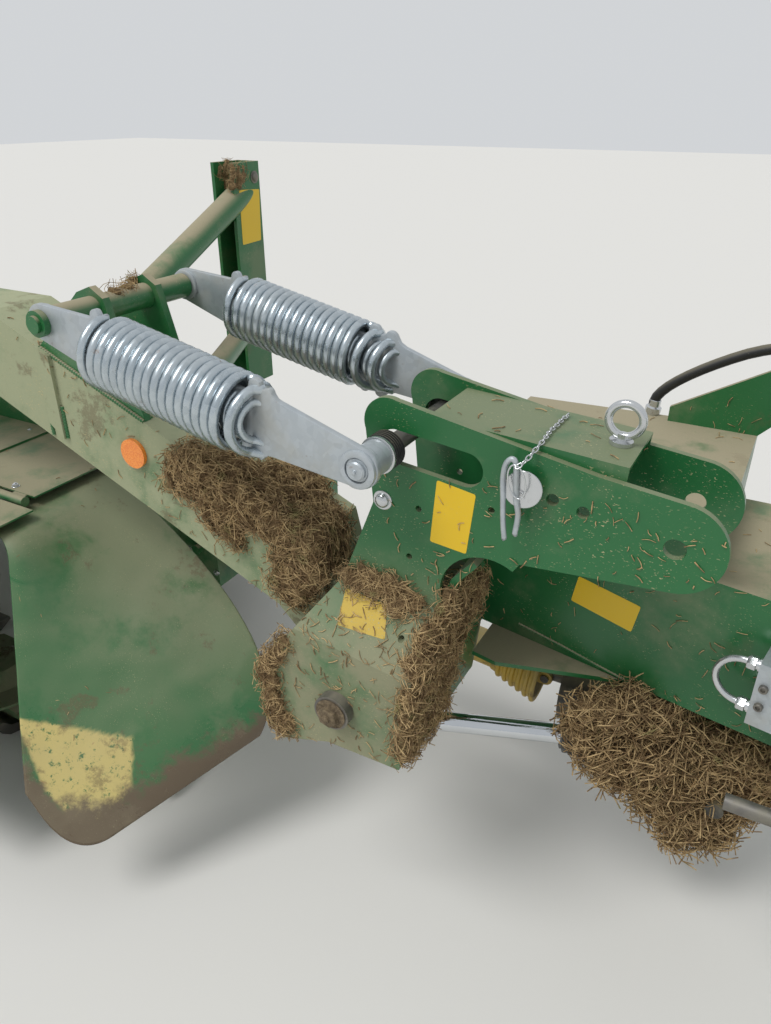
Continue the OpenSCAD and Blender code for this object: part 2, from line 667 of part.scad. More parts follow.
// A tongue of each end plate lies inside the coil; outside it the plate is as wide as the coil and narrows
// to its eye
eye_r = 32;
shoulder_r = coil_od / 2 - 12;
shoulder_back = shoulder_r + 8;
tongue_len = 60;
tongue_w = 2 * (coil_r * cos(15) - coil_wire / 2 - gap);
spring_plate_t = 12;
outer_eye_d = 30;
module spring_plate(eye_x, coil_end_x, hole_d) along_y(spring_plate_t) difference() {
  back = coil_end_x > eye_x ? -shoulder_back : shoulder_back;
  union() {
    link_2d([eye_x, 0], [coil_end_x + back, 0], eye_r, shoulder_r);
    translate([coil_end_x - tongue_len, -tongue_w / 2]) square([2 * tongue_len, tongue_w]);
  }
  translate([eye_x, 0]) circle(d = hole_d);
}
module spring_outer_plates() color(zinc) along_spring() for (side = [-1, 1])
  translate([0, side * spring_gap / 2, 0]) spring_plate(0, coil_start, outer_eye_d + 2 * fit);

module spring_inner_plates() color(zinc) along_spring() for (side = [-1, 1])
  translate([0, side * spring_gap / 2, 0]) spring_plate(spring_len, coil_start + coil_len, spring_pin_d + 2 * fit);

module spring_pin() color(steel) along_spring() translate([spring_len, 0, 0]) {
  rod_y(spring_pin_d, spring_gap + 70);
  for (side = [-1, 1]) translate([0, side * (spring_gap / 2 + 12), 0]) rod_y(50, 8);
}

// Sleeves and ribbed rubber boots on the pin, outside the hinge plates
module pin_boots() color(black) along_spring() translate([spring_len, 0, 0]) for (side = [-1, 1]) {
  start = plate_half + plate_t / 2 + 5;
  end = spring_gap / 2 - 6.3;
  translate([0, side * (start + end) / 2, 0]) difference() {
    union() {
      rod_y(52, end - start);
      for (i = [0:4]) translate([0, -side * (end - start) / 2 + side * (5 + i * 8), 0]) rod_y(62, 5);
    }
    rod_y(spring_pin_d + 2 * fit, 200);
  }
}

// Mower unit

head_x = [-hang_x - 260, -hang_x + 260];
head_plate_t = 14;
head_half = boom_w / 2 + 12 + head_plate_t / 2;
module mower_frame() color(paint) in_frame() difference() {
  union() {
    // top tube and the end plates that carry the cutter bar and the rotor
    translate([mower_mid_x, carrier_y, carrier_z]) cube([frame_end - frame_start, carrier_s, carrier_s], center = true);
    for (x = [-frame_start, -frame_end])
      translate([x, 0, 0]) along_x(14)
        polygon([[bar_rear + gap, bar_z + 2], [blade_rear + 45, bar_z + 2], [rotor_y + 110, rotor_z - 130],
                 [rotor_y + 110, rotor_z + 110], [carrier_y + 50, carrier_z], [carrier_y - 50, carrier_z],
                 [carrier_y - 130, 600], [blade_rear + 15, 280], [blade_rear + 15, disc_z - 1],
                 [bar_rear + gap, disc_z - 1]]);
    // arms that carry the end guards
    for (x = [-frame_start + 14, -frame_end - 14])
      translate([x, 0, 0]) along_x(24)
        polygon([[-190, 712], [carrier_y, 690], [carrier_y, carrier_z - 20], [160, plate_z - gap],
                 [-190, plate_z - gap]]);
    // lugs and pin that the outer guard hinges on
    for (y = side_lug_y)
      translate([-frame_end - 26, y - 6, plate_z - 20]) cube([24, 12, side_hinge_z - plate_z + 30]);
    translate([-frame_end - 14, (side_lug_y[0] + side_lug_y[1]) / 2, side_hinge_z]) rod_y(16, 300);
    // saddle and cheeks that hang the unit on the boom
    translate([head_x[0], -120, carrier_z + carrier_s / 2]) cube([head_x[1] - head_x[0], 120 + carrier_y + 50, 20]);
    for (side = [-1, 1])
      translate([0, side * head_half, pivot_z]) along_y(head_plate_t) difference() {
        polygon([[head_x[0] + 20, carrier_z + 69 - pivot_z], [head_x[1] - 20, carrier_z + 69 - pivot_z],
                 [-hang_x + 70, hang_z + 10], [-hang_x + 40, hang_z + 62], [-hang_x - 40, hang_z + 62],
                 [-hang_x - 70, hang_z + 10]]);
      }
  }
  translate([-hang_x, 0, pivot_z + hang_z]) rod_y(hang_pin_d + 2 * fit, 400);
  translate([mower_mid_x, rotor_y, rotor_z]) rod_x(60 + 2 * fit, 4000);
}

module hanging_pin() color(steel) in_frame() translate([-hang_x, 0, pivot_z + hang_z]) {
  rod_y(hang_pin_d, 2 * head_half + head_plate_t + 24);
  for (side = [-1, 1]) translate([0, side * (head_half + head_plate_t / 2 + 8.3), 0]) rod_y(hang_pin_d + 24, 16);
}

module cutter_bar() color(paint) in_frame()
  translate([mower_mid_x, 0, 0]) along_x(bar_end_x - mower_inner_x)
    polygon([[bar_y - bar_depth / 2, bar_z + 18], [bar_y - bar_depth / 2 + 30, bar_z],
             [bar_y + bar_depth / 2, bar_z], [bar_y + bar_depth / 2, disc_z],
             [bar_y - bar_depth / 2 + 30, disc_z], [bar_y - bar_depth / 2, disc_z - 14]]);

function disc_x(i) = -(mower_inner_x + disc_pitch * (i - 0.5));

module skid_shoes() color(steel) in_frame() for (i = [1:discs])
  translate([disc_x(i), 0, 0]) along_x(300)
    polygon([[-190, 62], [-182, 30], [-160, 10], [-125, 0], [150, 0], [190, 22], [190, 29.7], [-128, 29.7],
             [-152, 38], [-172, 62]]);

// A cutting disc: an oval plate with a raised middle and two blades, every other one a quarter turn on
module disc(i) color(paint) in_frame() translate([disc_x(i), disc_y, disc_z + 0.3]) rotate([0, 0, 90 * (i % 2)]) {
  cylinder(d = 90, h = 12);
  translate([0, 0, 12]) linear_extrude(height = 8) intersection() {
    circle(d = 360);
    square([360, 240], center = true);
  }
  translate([0, 0, 19.9]) cylinder(d1 = 220, d2 = 130, h = 34);
  for (side = [0, 180]) rotate(side) {
    translate([155, -22, 8.5]) cube([blade_circle / 2 - 155, 44, 4]);
    translate([163, 0, 6]) cylinder(d = 26, h = 14);
  }
}
module disc_1() disc(1);
module disc_2() disc(2);
module disc_3() disc(3);
module disc_4() disc(4);
module disc_5() disc(5);
module disc_6() disc(6);

// Outline of a bent sheet of even thickness along a list of [a, b] points
function sheet_normal(p, i) = let (
    before = unit(p[max(i, 1)] - p[max(i, 1) - 1]),
    after = unit(p[min(i + 1, len(p) - 1)] - p[min(i + 1, len(p) - 1) - 1]),
    m = unit(before + after))
  [-m[1], m[0]] / max(0.4, m * before);
function sheet_outline(p, t) = concat(
  [for (i = [0:len(p) - 1]) p[i] + t / 2 * sheet_normal(p, i)],
  [for (i = [len(p) - 1:-1:0]) p[i] - t / 2 * sheet_normal(p, i)]);

board_pin_d = 26;
rib_w = 50;
rib_x = [-780, 0, 780];
swath_x = [-frame_start - 60, -frame_end + 60];
hood_r = rotor_circle / 2 + 45;
module conditioner_hood() color(paint) in_frame() difference() {
  hood_sheets();
  for (x = swath_x) translate([x, board_y, 0]) cylinder(d = board_pin_d + 2 * fit, h = 445);
}
module hood_sheets() translate([mower_mid_x, 0, 0]) {
  for (x = swath_x) translate([x - mower_mid_x, board_y, 360]) cylinder(d = board_pin_d + 18, h = 105);
  w = inner_w;
  along_x(w) polygon(sheet_outline(hood_line_full, sheet_t));
  for (x = rib_x) translate([x, 0, 0]) along_x(rib_w) polygon(sheet_outline(hood_line_full, 3 * sheet_t));
  for (side = [-1, 1]) translate([side * (w / 2 - sheet_t / 2), 0, 0]) along_x(sheet_t)
    polygon(concat([for (p = hood_line_full) if (p[0] > 250) p], [[860, 300], [560, 260], [480, 560], [250, 700]]));
}
hood_line_full = concat([[90, 745], [180, 752]],
  [for (a = [100:-15:40]) [rotor_y + hood_r * cos(a), rotor_z + hood_r * sin(a)]],
  [[700, 600], [860, 530], [950, 440], [975, 360]]);

tine_pitch = 150;
module conditioner_rotor() color(steel) in_frame() translate([mower_mid_x, rotor_y, rotor_z]) {
  n = floor((rotor_len - 100) / tine_pitch);
  rod_x(150, rotor_len);
  rod_x(60, frame_end - frame_start + 4);
  for (i = [0:n]) for (row = [i % 2, i % 2 + 2])
    rotate([row * 90, 0, 0]) translate([(i - n / 2) * tine_pitch, 0, 0])
      translate([-30, -4, 70]) cube([60, 8, rotor_circle / 2 - 70]);
}

module mower_gearbox() color(paint) in_frame() {
  x = -frame_start + 7.3;
  translate([x, drive_y - 90, mower_input[2] - 90]) cube([120, 180, 180]);
  translate([x + 120, drive_y, mower_input[2]]) {
    rod_x(44, 90);
    rod_x(130, 28);
    for (a = [45:90:315]) rotate([a, 0, 0]) translate([4, 0, 52]) rod_x(16, 34);
  }
  translate([x + 60, drive_y, mower_input[2] + 80]) cylinder(d = 110, h = 24);
  translate([x + 60, drive_y - 96, mower_input[2] + 20]) rod_y(26, 20);
}

// Steel skirts of the front guard. Each ring runs from the rear end, along the side, round the corner and
// along the front, [x, y, z]; the rings go from the top edge down to the flared bottom edge.
skirt_steps = 6;
corner_steps = 5;
function mix(a, b, t) = a + (b - a) * t;
function skirt_corner(k, t) = mix(skirt_top[k], skirt_bottom[k], t) + [skirt_belly[k] * 4 * t * (1 - t), 0, 0];
function skirt_plan(k) = [skirt_top[k][0], skirt_top[k][1]];
// A quadratic curve rounds the corner
function bend_curve(a, b, c, s) = mix(mix(a, b, s), mix(b, c, s), s);
function skirt_ring(t, inset) = let (
    r = skirt_corner(0, t), f = skirt_corner(1, t), l = skirt_corner(2, t),
    near = mix(f, r, 0.16), far = mix(f, l, 0.7),
    shift = [-inset, inset * 0.7, 0])
  [for (p = concat([r, mix(r, f, 0.5)], [for (s = [0:corner_steps]) bend_curve(near, f, far, s / corner_steps)], [l]))
    p + shift];
module skirt() {
  rings = [for (i = [0:skirt_steps]) let (t = i / skirt_steps)
    concat(skirt_ring(t, 0), reversed(skirt_ring(t, sheet_t)))];
  skin(rings);
}

// Closes a list of rings of a sheet to a solid. A ring's points run along the sheet's outer face and back
// along its inner face, so both end caps are strips. The inner face is cut into triangles like the outer one
module skin(rings) {
  n = len(rings[0]);
  m = len(rings) - 1;
  polyhedron(
    points = [for (r = rings) for (p = r) p],
    faces = concat(
      [for (k = [0:n / 2 - 2]) each [[k, k + 1, n - 2 - k], [k, n - 2 - k, n - 1 - k]]],
      [for (i = [0:m - 1]) for (k = [0:n - 1])
        let (a = i * n + k, b = i * n + (k + 1) % n)
        each k < n / 2 ? [[a, b + n, b], [a, a + n, b + n]] : [[a, a + n, b], [b, a + n, b + n]]],
      [for (k = [0:n / 2 - 2]) let (e = m * n)
        each [[e + k, e + n - 2 - k, e + k + 1], [e + k, e + n - 1 - k, e + n - 2 - k]]]));
}

module guard_top_plate() {
  translate([0, 0, plate_z]) linear_extrude(height = sheet_t)
    polygon([skirt_plan(0), skirt_plan(1), skirt_plan(2), [-frame_start - 80, -222], [-frame_start - 80, 101]]);
}

module guard_corner() color(paint) in_frame() {
  skirt();
  guard_top_plate();
}

// Front guard: hinged to the top cover's edge by knuckles on a rod, so it swings up and forwards
hinge_y = -120;
hinge_rod_d = 22;
knuckle_x = [-inner_w / 2 + 133, -350, 350, inner_w / 2 - 133];
tab_x = [-inner_w / 2 + 43, -650, 0, 650, inner_w / 2 - 43];
guard_foot_x = inner_w / 2 - 87;
// At the tractor's end the guard laps over the frame
guard_lap = 50;
guard_lap_x = inner_w / 2 + guard_lap;
front_line = [[-140, cover_z], [-225, cover_z], [-256, 745], [-330, 560], [-420, 330], [front_end_y + 2, 190]];
rib_line = [for (i = [2:len(front_line) - 1]) front_line[i]];
module top_cover() color(paint) in_frame() translate([mower_mid_x, 0, 0]) {
  along_x(inner_w) polygon(sheet_outline([[hinge_y + 24, cover_z], [carrier_y - 40, cover_z]], sheet_t));
  translate([0, hinge_y, cover_z]) rod_x(hinge_rod_d, inner_w);
  for (x = tab_x) translate([x - 20, hinge_y, cover_z - 8]) cube([40, 26, 9]);
  for (x = rib_x) translate([x - rib_w / 2, hinge_y + 40, cover_z]) cube([rib_w, carrier_y - hinge_y - 110, 8]);
}

module front_guard() color(paint) in_frame() translate([mower_mid_x, 0, 0]) difference() {
  union() {
    intersection() {
      union() {
        translate([guard_lap / 2, 0, 0]) along_x(inner_w + guard_lap) polygon(sheet_outline(front_line, sheet_t));
        for (x = rib_x) translate([x, 0, 0]) along_x(rib_w) polygon(sheet_outline(rib_line, 3 * sheet_t));
      }
      along_y(1200) polygon([[-inner_w / 2, 800], [guard_lap_x, 800], [guard_lap_x, 160], [-guard_foot_x, 160],
                             [-inner_w / 2, 750]]);
    }
    for (x = knuckle_x) translate([x, 0, 0]) {
      translate([0, hinge_y, cover_z]) rod_x(hinge_rod_d + 12, 80);
      translate([-40, hinge_y - 24, cover_z - sheet_t / 2]) cube([80, 20, sheet_t]);
    }
  }
  translate([0, hinge_y, cover_z]) rod_x(hinge_rod_d + 2 * fit, inner_w + 10);
}

// Outer guard: the inner one's mirror image, hinged on a pin above the frame's arm
arm_mid_x = -frame_end - 14;
side_hinge_z = 770;
side_pin_d = 16;
side_lug_y = [-140, 50];
side_knuckle_y = [-172, 84];
module outer_guard() color(paint) in_frame() difference() {
  union() {
    translate([2 * mower_mid_x, 0, 0]) mirror([1, 0, 0]) {
      skirt();
      translate([0, 0, plate_z]) linear_extrude(height = sheet_t)
        polygon([skirt_plan(0), skirt_plan(1), skirt_plan(2), [32 - frame_start, -222], [32 - frame_start, 101]]);
    }
    for (y = side_knuckle_y) translate([arm_mid_x, y, 0]) {
      translate([0, 0, side_hinge_z]) rod_y(side_pin_d + 12, 30);
      along_y(30) polygon([[0, side_hinge_z + 12], [-12, side_hinge_z + 12], [-46, plate_z + 3], [-46, plate_z + 1],
                           [-19, plate_z + 1], [-19, plate_z + 6], [-12, side_hinge_z - 6]]);
    }
  }
  translate([arm_mid_x, 0, side_hinge_z]) rod_y(side_pin_d + 2 * fit, 600);
}

// Swath boards behind the conditioner, each on an upright hinge

module swath_board(x) color(paint) in_frame() translate([x, board_y, 0]) {
  translate([0, 0, 180]) cylinder(d = board_pin_d, h = 260);
  translate([-2, 0, 170]) cube([4, board_len, 170]);
}
module swath_board_inner() swath_board(swath_x[0]);
module swath_board_outer() swath_board(swath_x[1]);

headstock_frame();
king_pin();
lower_hitch_pins();
parking_leg();
main_beam();
hinge_plate_front();
hinge_plate_rear();
clevis_web();
spacer_channel();
lifting_eye();
adjusting_pin();
pivot_pin();
valve_block();
steel_pipe();
hydraulic_hoses();
input_gearbox();
driveline_outer();
driveline_inner();
cylinder_barrel();
cylinder_rod();
boom_beam();
spring_lugs();
rear_post();
side_reflector();
spring_coil_front();
spring_coil_rear();
spring_outer_plates();
spring_inner_plates();
spring_pin();
pin_boots();
mower_frame();
hanging_pin();
cutter_bar();
skid_shoes();
disc_1();
disc_2();
disc_3();
disc_4();
disc_5();
disc_6();
conditioner_hood();
conditioner_rotor();
mower_gearbox();
guard_corner();
top_cover();
front_guard();
outer_guard();
swath_board_inner();
swath_board_outer();
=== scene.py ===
# %% [markdown]
# # Disc mower conditioner
#
# A mounted disc mower cuts grass to one side of the tractor, and its rotor crushes the stems so that the
# hay dries sooner. This lesson dresses the bare machine: glossy green enamel under dust, galvanised
# springs, rubber, a chromed piston rod, and the hay that stays on such a machine after work. The machine
# itself comes from the frame, which already has every steel piece at its real size. Those pieces keep
# their shape and only get a finish. Pieces whose shape is too fine for the frame are made here.

# %% Load the machine
import math
import random

import bpy
import bmesh
from mathutils import Matrix, Vector, noise
from mathutils.bvhtree import BVHTree


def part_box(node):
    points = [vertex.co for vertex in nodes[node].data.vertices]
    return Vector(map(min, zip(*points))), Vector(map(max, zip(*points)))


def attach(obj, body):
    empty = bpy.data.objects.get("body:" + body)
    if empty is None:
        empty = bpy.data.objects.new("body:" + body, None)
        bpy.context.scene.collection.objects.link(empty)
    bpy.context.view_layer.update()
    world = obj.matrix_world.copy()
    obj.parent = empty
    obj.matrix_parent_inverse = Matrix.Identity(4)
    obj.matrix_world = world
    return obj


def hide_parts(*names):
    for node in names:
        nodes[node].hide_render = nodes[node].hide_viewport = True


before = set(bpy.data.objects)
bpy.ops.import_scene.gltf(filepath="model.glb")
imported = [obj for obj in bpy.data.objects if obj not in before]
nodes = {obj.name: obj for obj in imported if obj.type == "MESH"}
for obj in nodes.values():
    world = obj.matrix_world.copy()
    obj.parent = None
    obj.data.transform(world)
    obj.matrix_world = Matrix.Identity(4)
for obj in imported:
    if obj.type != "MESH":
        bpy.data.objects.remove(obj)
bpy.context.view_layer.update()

# %% [markdown]
# Places on the machine are easiest to read from the pin that the boom swings up about. So one function
# turns millimetres from that pin, with heights from the ground, into the frame's metres.

# %% Places from the lift pivot
PIVOT = Vector((0.94125, -0.3675, 0.0))


def at(x, y, z):
    return PIVOT + Vector((x, y, z)) / 1000


# %% [markdown]
# The camera stands where the photographer stood: in front of the hinge, at chest height, looking down by
# 28 degrees. The lens is given by its length on a sensor 36 mm high, because the picture is upright.

# %% Camera
PICTURE_W, PICTURE_H, FOCAL = 771, 1024, 770
heading, pitch = math.radians(29), math.radians(28)
look = Vector((-math.sin(heading) * math.cos(pitch), math.cos(heading) * math.cos(pitch), -math.sin(pitch)))
lens = bpy.data.cameras.new("camera")
lens.sensor_fit = "VERTICAL"
lens.sensor_height = 36
lens.lens = lens.sensor_height * FOCAL / PICTURE_H
camera = bpy.data.objects.new("camera", lens)
camera.location = at(590, -1049, 1550)
camera.rotation_euler = look.to_track_quat("-Z", "Y").to_euler()
bpy.context.scene.collection.objects.link(camera)
bpy.context.scene.camera = camera
print("camera at", [round(value, 3) for value in camera.location])

# %% [markdown]
# Hay, mud and films lie where the photograph shows them. A ray from the camera through a point of the
# picture finds the surface that carries them, and so their depth. The opposite way, picture() tells where
# a point of the machine comes out in the photograph. Points of the picture are pixels from its upper left
# corner.

# %% From the picture to the machine and back
across = look.cross(Vector((0, 0, 1))).normalized()
upward = across.cross(look)
surfaces = {}


def surface_of(name):
    if name not in surfaces:
        mesh = nodes[name].data
        faces = [polygon.vertices[:] for polygon in mesh.polygons]
        surfaces[name] = BVHTree.FromPolygons([vertex.co for vertex in mesh.vertices], faces)
    return surfaces[name]


def ray_through(u, v):
    return look * FOCAL + across * (u - PICTURE_W / 2) - upward * (v - PICTURE_H / 2)


def nearest(u, v, names):
    """The place and the facing of the nearest of these nodes behind the picture's point (u, v), or None."""
    ray = ray_through(u, v).normalized()
    hits = [surface_of(name).ray_cast(camera.location, ray) for name in names]
    hits = [hit for hit in hits if hit[0] is not None]
    if not hits:
        return None
    place, facing = min(hits, key=lambda hit: hit[3])[:2]
    return place, facing if facing.dot(ray) < 0 else -facing


def seen(u, v, *names):
    found = nearest(u, v, names)
    assert found, f"nothing of {names} behind {u}, {v}"
    return found


def picture(place):
    ray = place - camera.location
    depth = ray.dot(look) / FOCAL
    return Vector((PICTURE_W / 2 + ray.dot(across) / depth, PICTURE_H / 2 - ray.dot(upward) / depth))


print("the lift pin's head is seen at", [round(value) for value in picture(at(0, -185, 590))])

# %% [markdown]
# Every colour is written as on a paint card, in sRGB hex, and one function turns it to the linear values
# that the shader needs. A second small function adds a node with its settings and its links. An input
# takes a number, a colour, another node's output, or the node itself for its first output that is in use.

# %% Colours and nodes
def rgb(code):
    parts = [int(code[i : i + 2], 16) / 255 for i in (1, 3, 5)]
    return [p / 12.92 if p <= 0.04045 else ((p + 0.055) / 1.055) ** 2.4 for p in parts] + [1.0]


def add(tree, kind, settings=None, inputs=None):
    node = tree.nodes.new(kind)
    for name, value in (settings or {}).items():
        setattr(node, name, value)
    for key, value in (inputs or {}).items():
        if isinstance(value, bpy.types.Node):
            value = next(output for output in value.outputs if output.enabled)
        if isinstance(value, bpy.types.NodeSocket):
            tree.links.new(value, node.inputs[key])
        else:
            node.inputs[key].default_value = value
    return node


def new_material(name):
    material = bpy.data.materials.new(name)
    material.use_nodes = True
    tree = material.node_tree
    tree.nodes.clear()
    shader = add(tree, "ShaderNodeBsdfPrincipled")
    add(tree, "ShaderNodeOutputMaterial", None, {"Surface": shader.outputs[0]})
    return material, tree, shader


NOISE, CELLS, STRETCH = "ShaderNodeTexNoise", "ShaderNodeTexVoronoi", "ShaderNodeMapping"
RANGE, MATH, MIX, BUMP = "ShaderNodeMapRange", "ShaderNodeMath", "ShaderNodeMix", "ShaderNodeBump"
SMOOTH, COLOURS = {"interpolation_type": "SMOOTHSTEP"}, {"data_type": "RGBA"}
TIMES, GREATER, PLUS = [{"operation": name} for name in ("MULTIPLY", "MAXIMUM", "ADD")]
print("a rust brown in linear values:", [round(value, 3) for value in rgb("#7c5a3c")])

# %% [markdown]
# Dust, mud and chaff settle on every surface of a mower, so they are layers that any finish can wear.
# Dust lies thick where a face looks up, which the object's own normal tells, and as a thin film on the
# sides, both broken up by one large noise, since wind and wet crop clear whole patches. Chaff is short
# pale flecks 2 to 5 mm long: a noise drawn long in one direction and cut off high, so that only its peaks
# show, and it gathers in patches. A noise's scale is the number of its waves in a metre.

# %% Layers of dirt
DUST = rgb("#9c9379")
MUD = rgb("#67573f")
CHAFF = rgb("#b7ae84")
FULL_SPLASH = 0.75


def dirty(tree, shader, colour, gloss, top=0.5, side=0.2, mud=0.2, chaff=0.4, dust=DUST, low=None):
    """Lays dust, mud and chaff over a colour, and dulls and roughens the surface under them."""
    where = add(tree, "ShaderNodeTexCoord").outputs
    place = where["Object"]
    up = add(tree, "ShaderNodeSeparateXYZ", None, {0: where["Normal"]}).outputs[2]
    cloud = add(tree, NOISE, None, {"Vector": place, "Scale": 6, "Detail": 7, "Roughness": 0.64})
    fine = add(tree, NOISE, None, {"Vector": place, "Scale": 170, "Detail": 3, "Roughness": 0.7})
    facing_up = add(tree, RANGE, SMOOTH, {"Value": up, "From Min": 0.25, "From Max": 0.9})
    drifts = add(tree, RANGE, SMOOTH, {"Value": cloud, "From Min": 0.22, "From Max": 0.5})
    lying = add(tree, MATH, TIMES, {0: facing_up, 1: drifts})
    lying = add(tree, MATH, TIMES, {0: lying, 1: top})
    thin, thick = 0.62 - 0.5 * side, 0.78 - 0.28 * side
    film = add(tree, RANGE, SMOOTH, {"Value": cloud, "From Min": thin, "From Max": thick})
    film = add(tree, MATH, TIMES, {0: film, 1: min(1.0, side * 1.15)})
    if low:
        height = add(tree, "ShaderNodeSeparateXYZ", None, {0: place}).outputs[2]
        reach = add(tree, RANGE, SMOOTH, {"Value": height, "From Min": low[0], "From Max": low[1]})
        drops = add(tree, RANGE, SMOOTH, {"Value": cloud, "From Min": 0.25, "From Max": 0.6})
        splash = add(tree, MATH, TIMES, {0: reach, 1: drops})
        splash = add(tree, MATH, TIMES, {0: splash, 1: FULL_SPLASH})
        film = add(tree, MATH, GREATER, {0: film, 1: splash})
    dusty = add(tree, MATH, GREATER, {0: lying, 1: film})
    grains = add(tree, RANGE, SMOOTH, {"Value": fine, "From Min": 0.02, "From Max": 0.42})
    dusty = add(tree, MATH, TIMES, {0: dusty, 1: grains})
    edge = 0.60 - 0.14 * mud
    blots = add(tree, NOISE, None, {"Vector": place, "Scale": 8.5, "Detail": 9, "Roughness": 0.7})
    spots = add(tree, RANGE, SMOOTH, {"Value": blots, "From Min": edge, "From Max": edge + 0.07})
    spots = add(tree, MATH, TIMES, {0: spots, 1: min(1.0, mud * 1.8)})
    crumbs = add(tree, RANGE, SMOOTH, {"Value": fine, "From Min": 0.28, "From Max": 0.5})
    spots = add(tree, MATH, TIMES, {0: spots, 1: crumbs})
    long = add(tree, STRETCH, None, {"Vector": place, "Scale": (1.0, 2.6, 2.2), "Rotation": (0.4, 0.5, 0.6)})
    patches = add(tree, NOISE, None, {"Vector": place, "Scale": 15, "Detail": 4, "Roughness": 0.6})
    patches = add(tree, RANGE, SMOOTH, {"Value": patches, "From Min": 0.40, "From Max": 0.66})
    peak = 0.69 - 0.06 * chaff
    flecks = add(tree, NOISE, None, {"Vector": long, "Scale": 210, "Detail": 1.5, "Roughness": 0.5})
    flecks = add(tree, RANGE, SMOOTH, {"Value": flecks, "From Min": peak, "From Max": peak + 0.04})
    flecks = add(tree, MATH, TIMES, {0: flecks, 1: patches})
    flecks = add(tree, MATH, TIMES, {0: flecks, 1: min(1.0, chaff * 1.4)})
    colour = add(tree, MIX, COLOURS, {"Factor": dusty, 6: colour, 7: dust})
    colour = add(tree, MIX, COLOURS, {"Factor": spots, 6: colour, 7: MUD})
    colour = add(tree, MIX, COLOURS, {"Factor": flecks, 6: colour, 7: CHAFF})
    tree.links.new(colour.outputs[2], shader.inputs["Base Color"])
    cover = add(tree, MATH, GREATER, {0: dusty, 1: spots})
    dull = add(tree, RANGE, None, {"Value": cover, "To Min": gloss, "To Max": 0.9})
    tree.links.new(dull.outputs[0], shader.inputs["Roughness"])
    relief = add(tree, MATH, GREATER, {0: spots, 1: add(tree, MATH, TIMES, {0: fine, 1: 0.25})})
    relief = add(tree, MATH, GREATER, {0: relief, 1: add(tree, MATH, TIMES, {0: flecks, 1: 0.7})})
    bump = add(tree, BUMP, None, {"Strength": 0.5, "Distance": 0.0015, "Height": relief})
    tree.links.new(bump.outputs[0], shader.inputs["Normal"])


# %% [markdown]
# The green enamel is one sprayed finish in several states. The hinge plates are nearly clean, the boom is
# almost hidden by dust, the beam is dusty on top only, the mower unit is dull all over, and what the wet
# crop hits is muddy. Clean enamel is a dielectric with a fairly sharp gloss.

# %% Green enamel
def green_of(tree):
    place = add(tree, "ShaderNodeTexCoord").outputs["Object"]
    sprayed = add(tree, NOISE, None, {"Vector": place, "Scale": 2.2, "Detail": 2, "Roughness": 0.55})
    return add(tree, MIX, COLOURS, {"Factor": sprayed, 6: rgb("#1e5a30"), 7: rgb("#2b7340")})


def enamel(name, top, side, mud, chaff, dust=DUST, low=None):
    material, tree, shader = new_material(name)
    dirty(tree, shader, green_of(tree), 0.28, top, side, mud, chaff, dust, low)
    return material


FOOT_LOW, FOOT_HIGH = 0.7, 0.93
green_clean = enamel("green_enamel", 0.5, 0.2, 0.0, 0.6, low=(FOOT_HIGH, FOOT_LOW))
green_beam = enamel("green_enamel_beam", 1.0, 0.25, 0.1, 0.4)
green_boom = enamel("green_enamel_dusty", 0.95, 0.8, 0.3, 1.0, rgb("#a2a585"))
green_mower = enamel("green_enamel_dull", 0.9, 0.42, 0.12, 0.35)
green_muddy = enamel("green_enamel_muddy", 0.8, 0.6, 0.5, 0.4)
print("green finishes:", [finish.name for finish in (green_clean, green_beam, green_boom, green_mower)])

# %% [markdown]
# The guard's corner is the same enamel with a painted yellow tip, which rides on the mesh as an
# attribute. A second attribute says how near a point is to the lower edge, where wet crop has left a coat
# of mud.

# %% Guard enamel
guard_enamel, tree, shader = new_material("green_enamel_guard")
marked = add(tree, "ShaderNodeAttribute", {"attribute_name": "yellow_tip"}).outputs["Fac"]
low = add(tree, "ShaderNodeAttribute", {"attribute_name": "near_the_edge"}).outputs["Fac"]
place = add(tree, "ShaderNodeTexCoord").outputs["Object"]
scuffs = add(tree, NOISE, None, {"Vector": place, "Scale": 60, "Detail": 8, "Roughness": 0.75})
scuffs = add(tree, RANGE, SMOOTH, {"Value": scuffs, "From Min": 0.36, "From Max": 0.46})
tip = add(tree, MATH, TIMES, {0: marked, 1: scuffs})
colour = add(tree, MIX, COLOURS, {"Factor": tip, 6: green_of(tree), 7: rgb("#cdbb74")})
soil = add(tree, NOISE, None, {"Vector": place, "Scale": 22, "Detail": 8, "Roughness": 0.7})
soil = add(tree, MATH, PLUS, {0: low, 1: add(tree, MATH, TIMES, {0: soil, 1: 0.9})})
soil = add(tree, RANGE, SMOOTH, {"Value": soil, "From Min": 0.9, "From Max": 1.16})
colour = add(tree, MIX, COLOURS, {"Factor": soil, 6: colour, 7: rgb("#635542")})
dirty(tree, shader, colour, 0.22, top=0.62, side=0.27, mud=0.3, chaff=0.35)


# %% [markdown]
# The springs are hot-dip galvanised: the zinc freezes in crystals a centimetre across, each a slightly
# different grey, and stays fairly bright. Small rust stains start where the coating has gone. A metal's
# dirt takes its metallic look away as well as its gloss.

# %% Metals
CRYSTALS_PER_METRE = 85.0


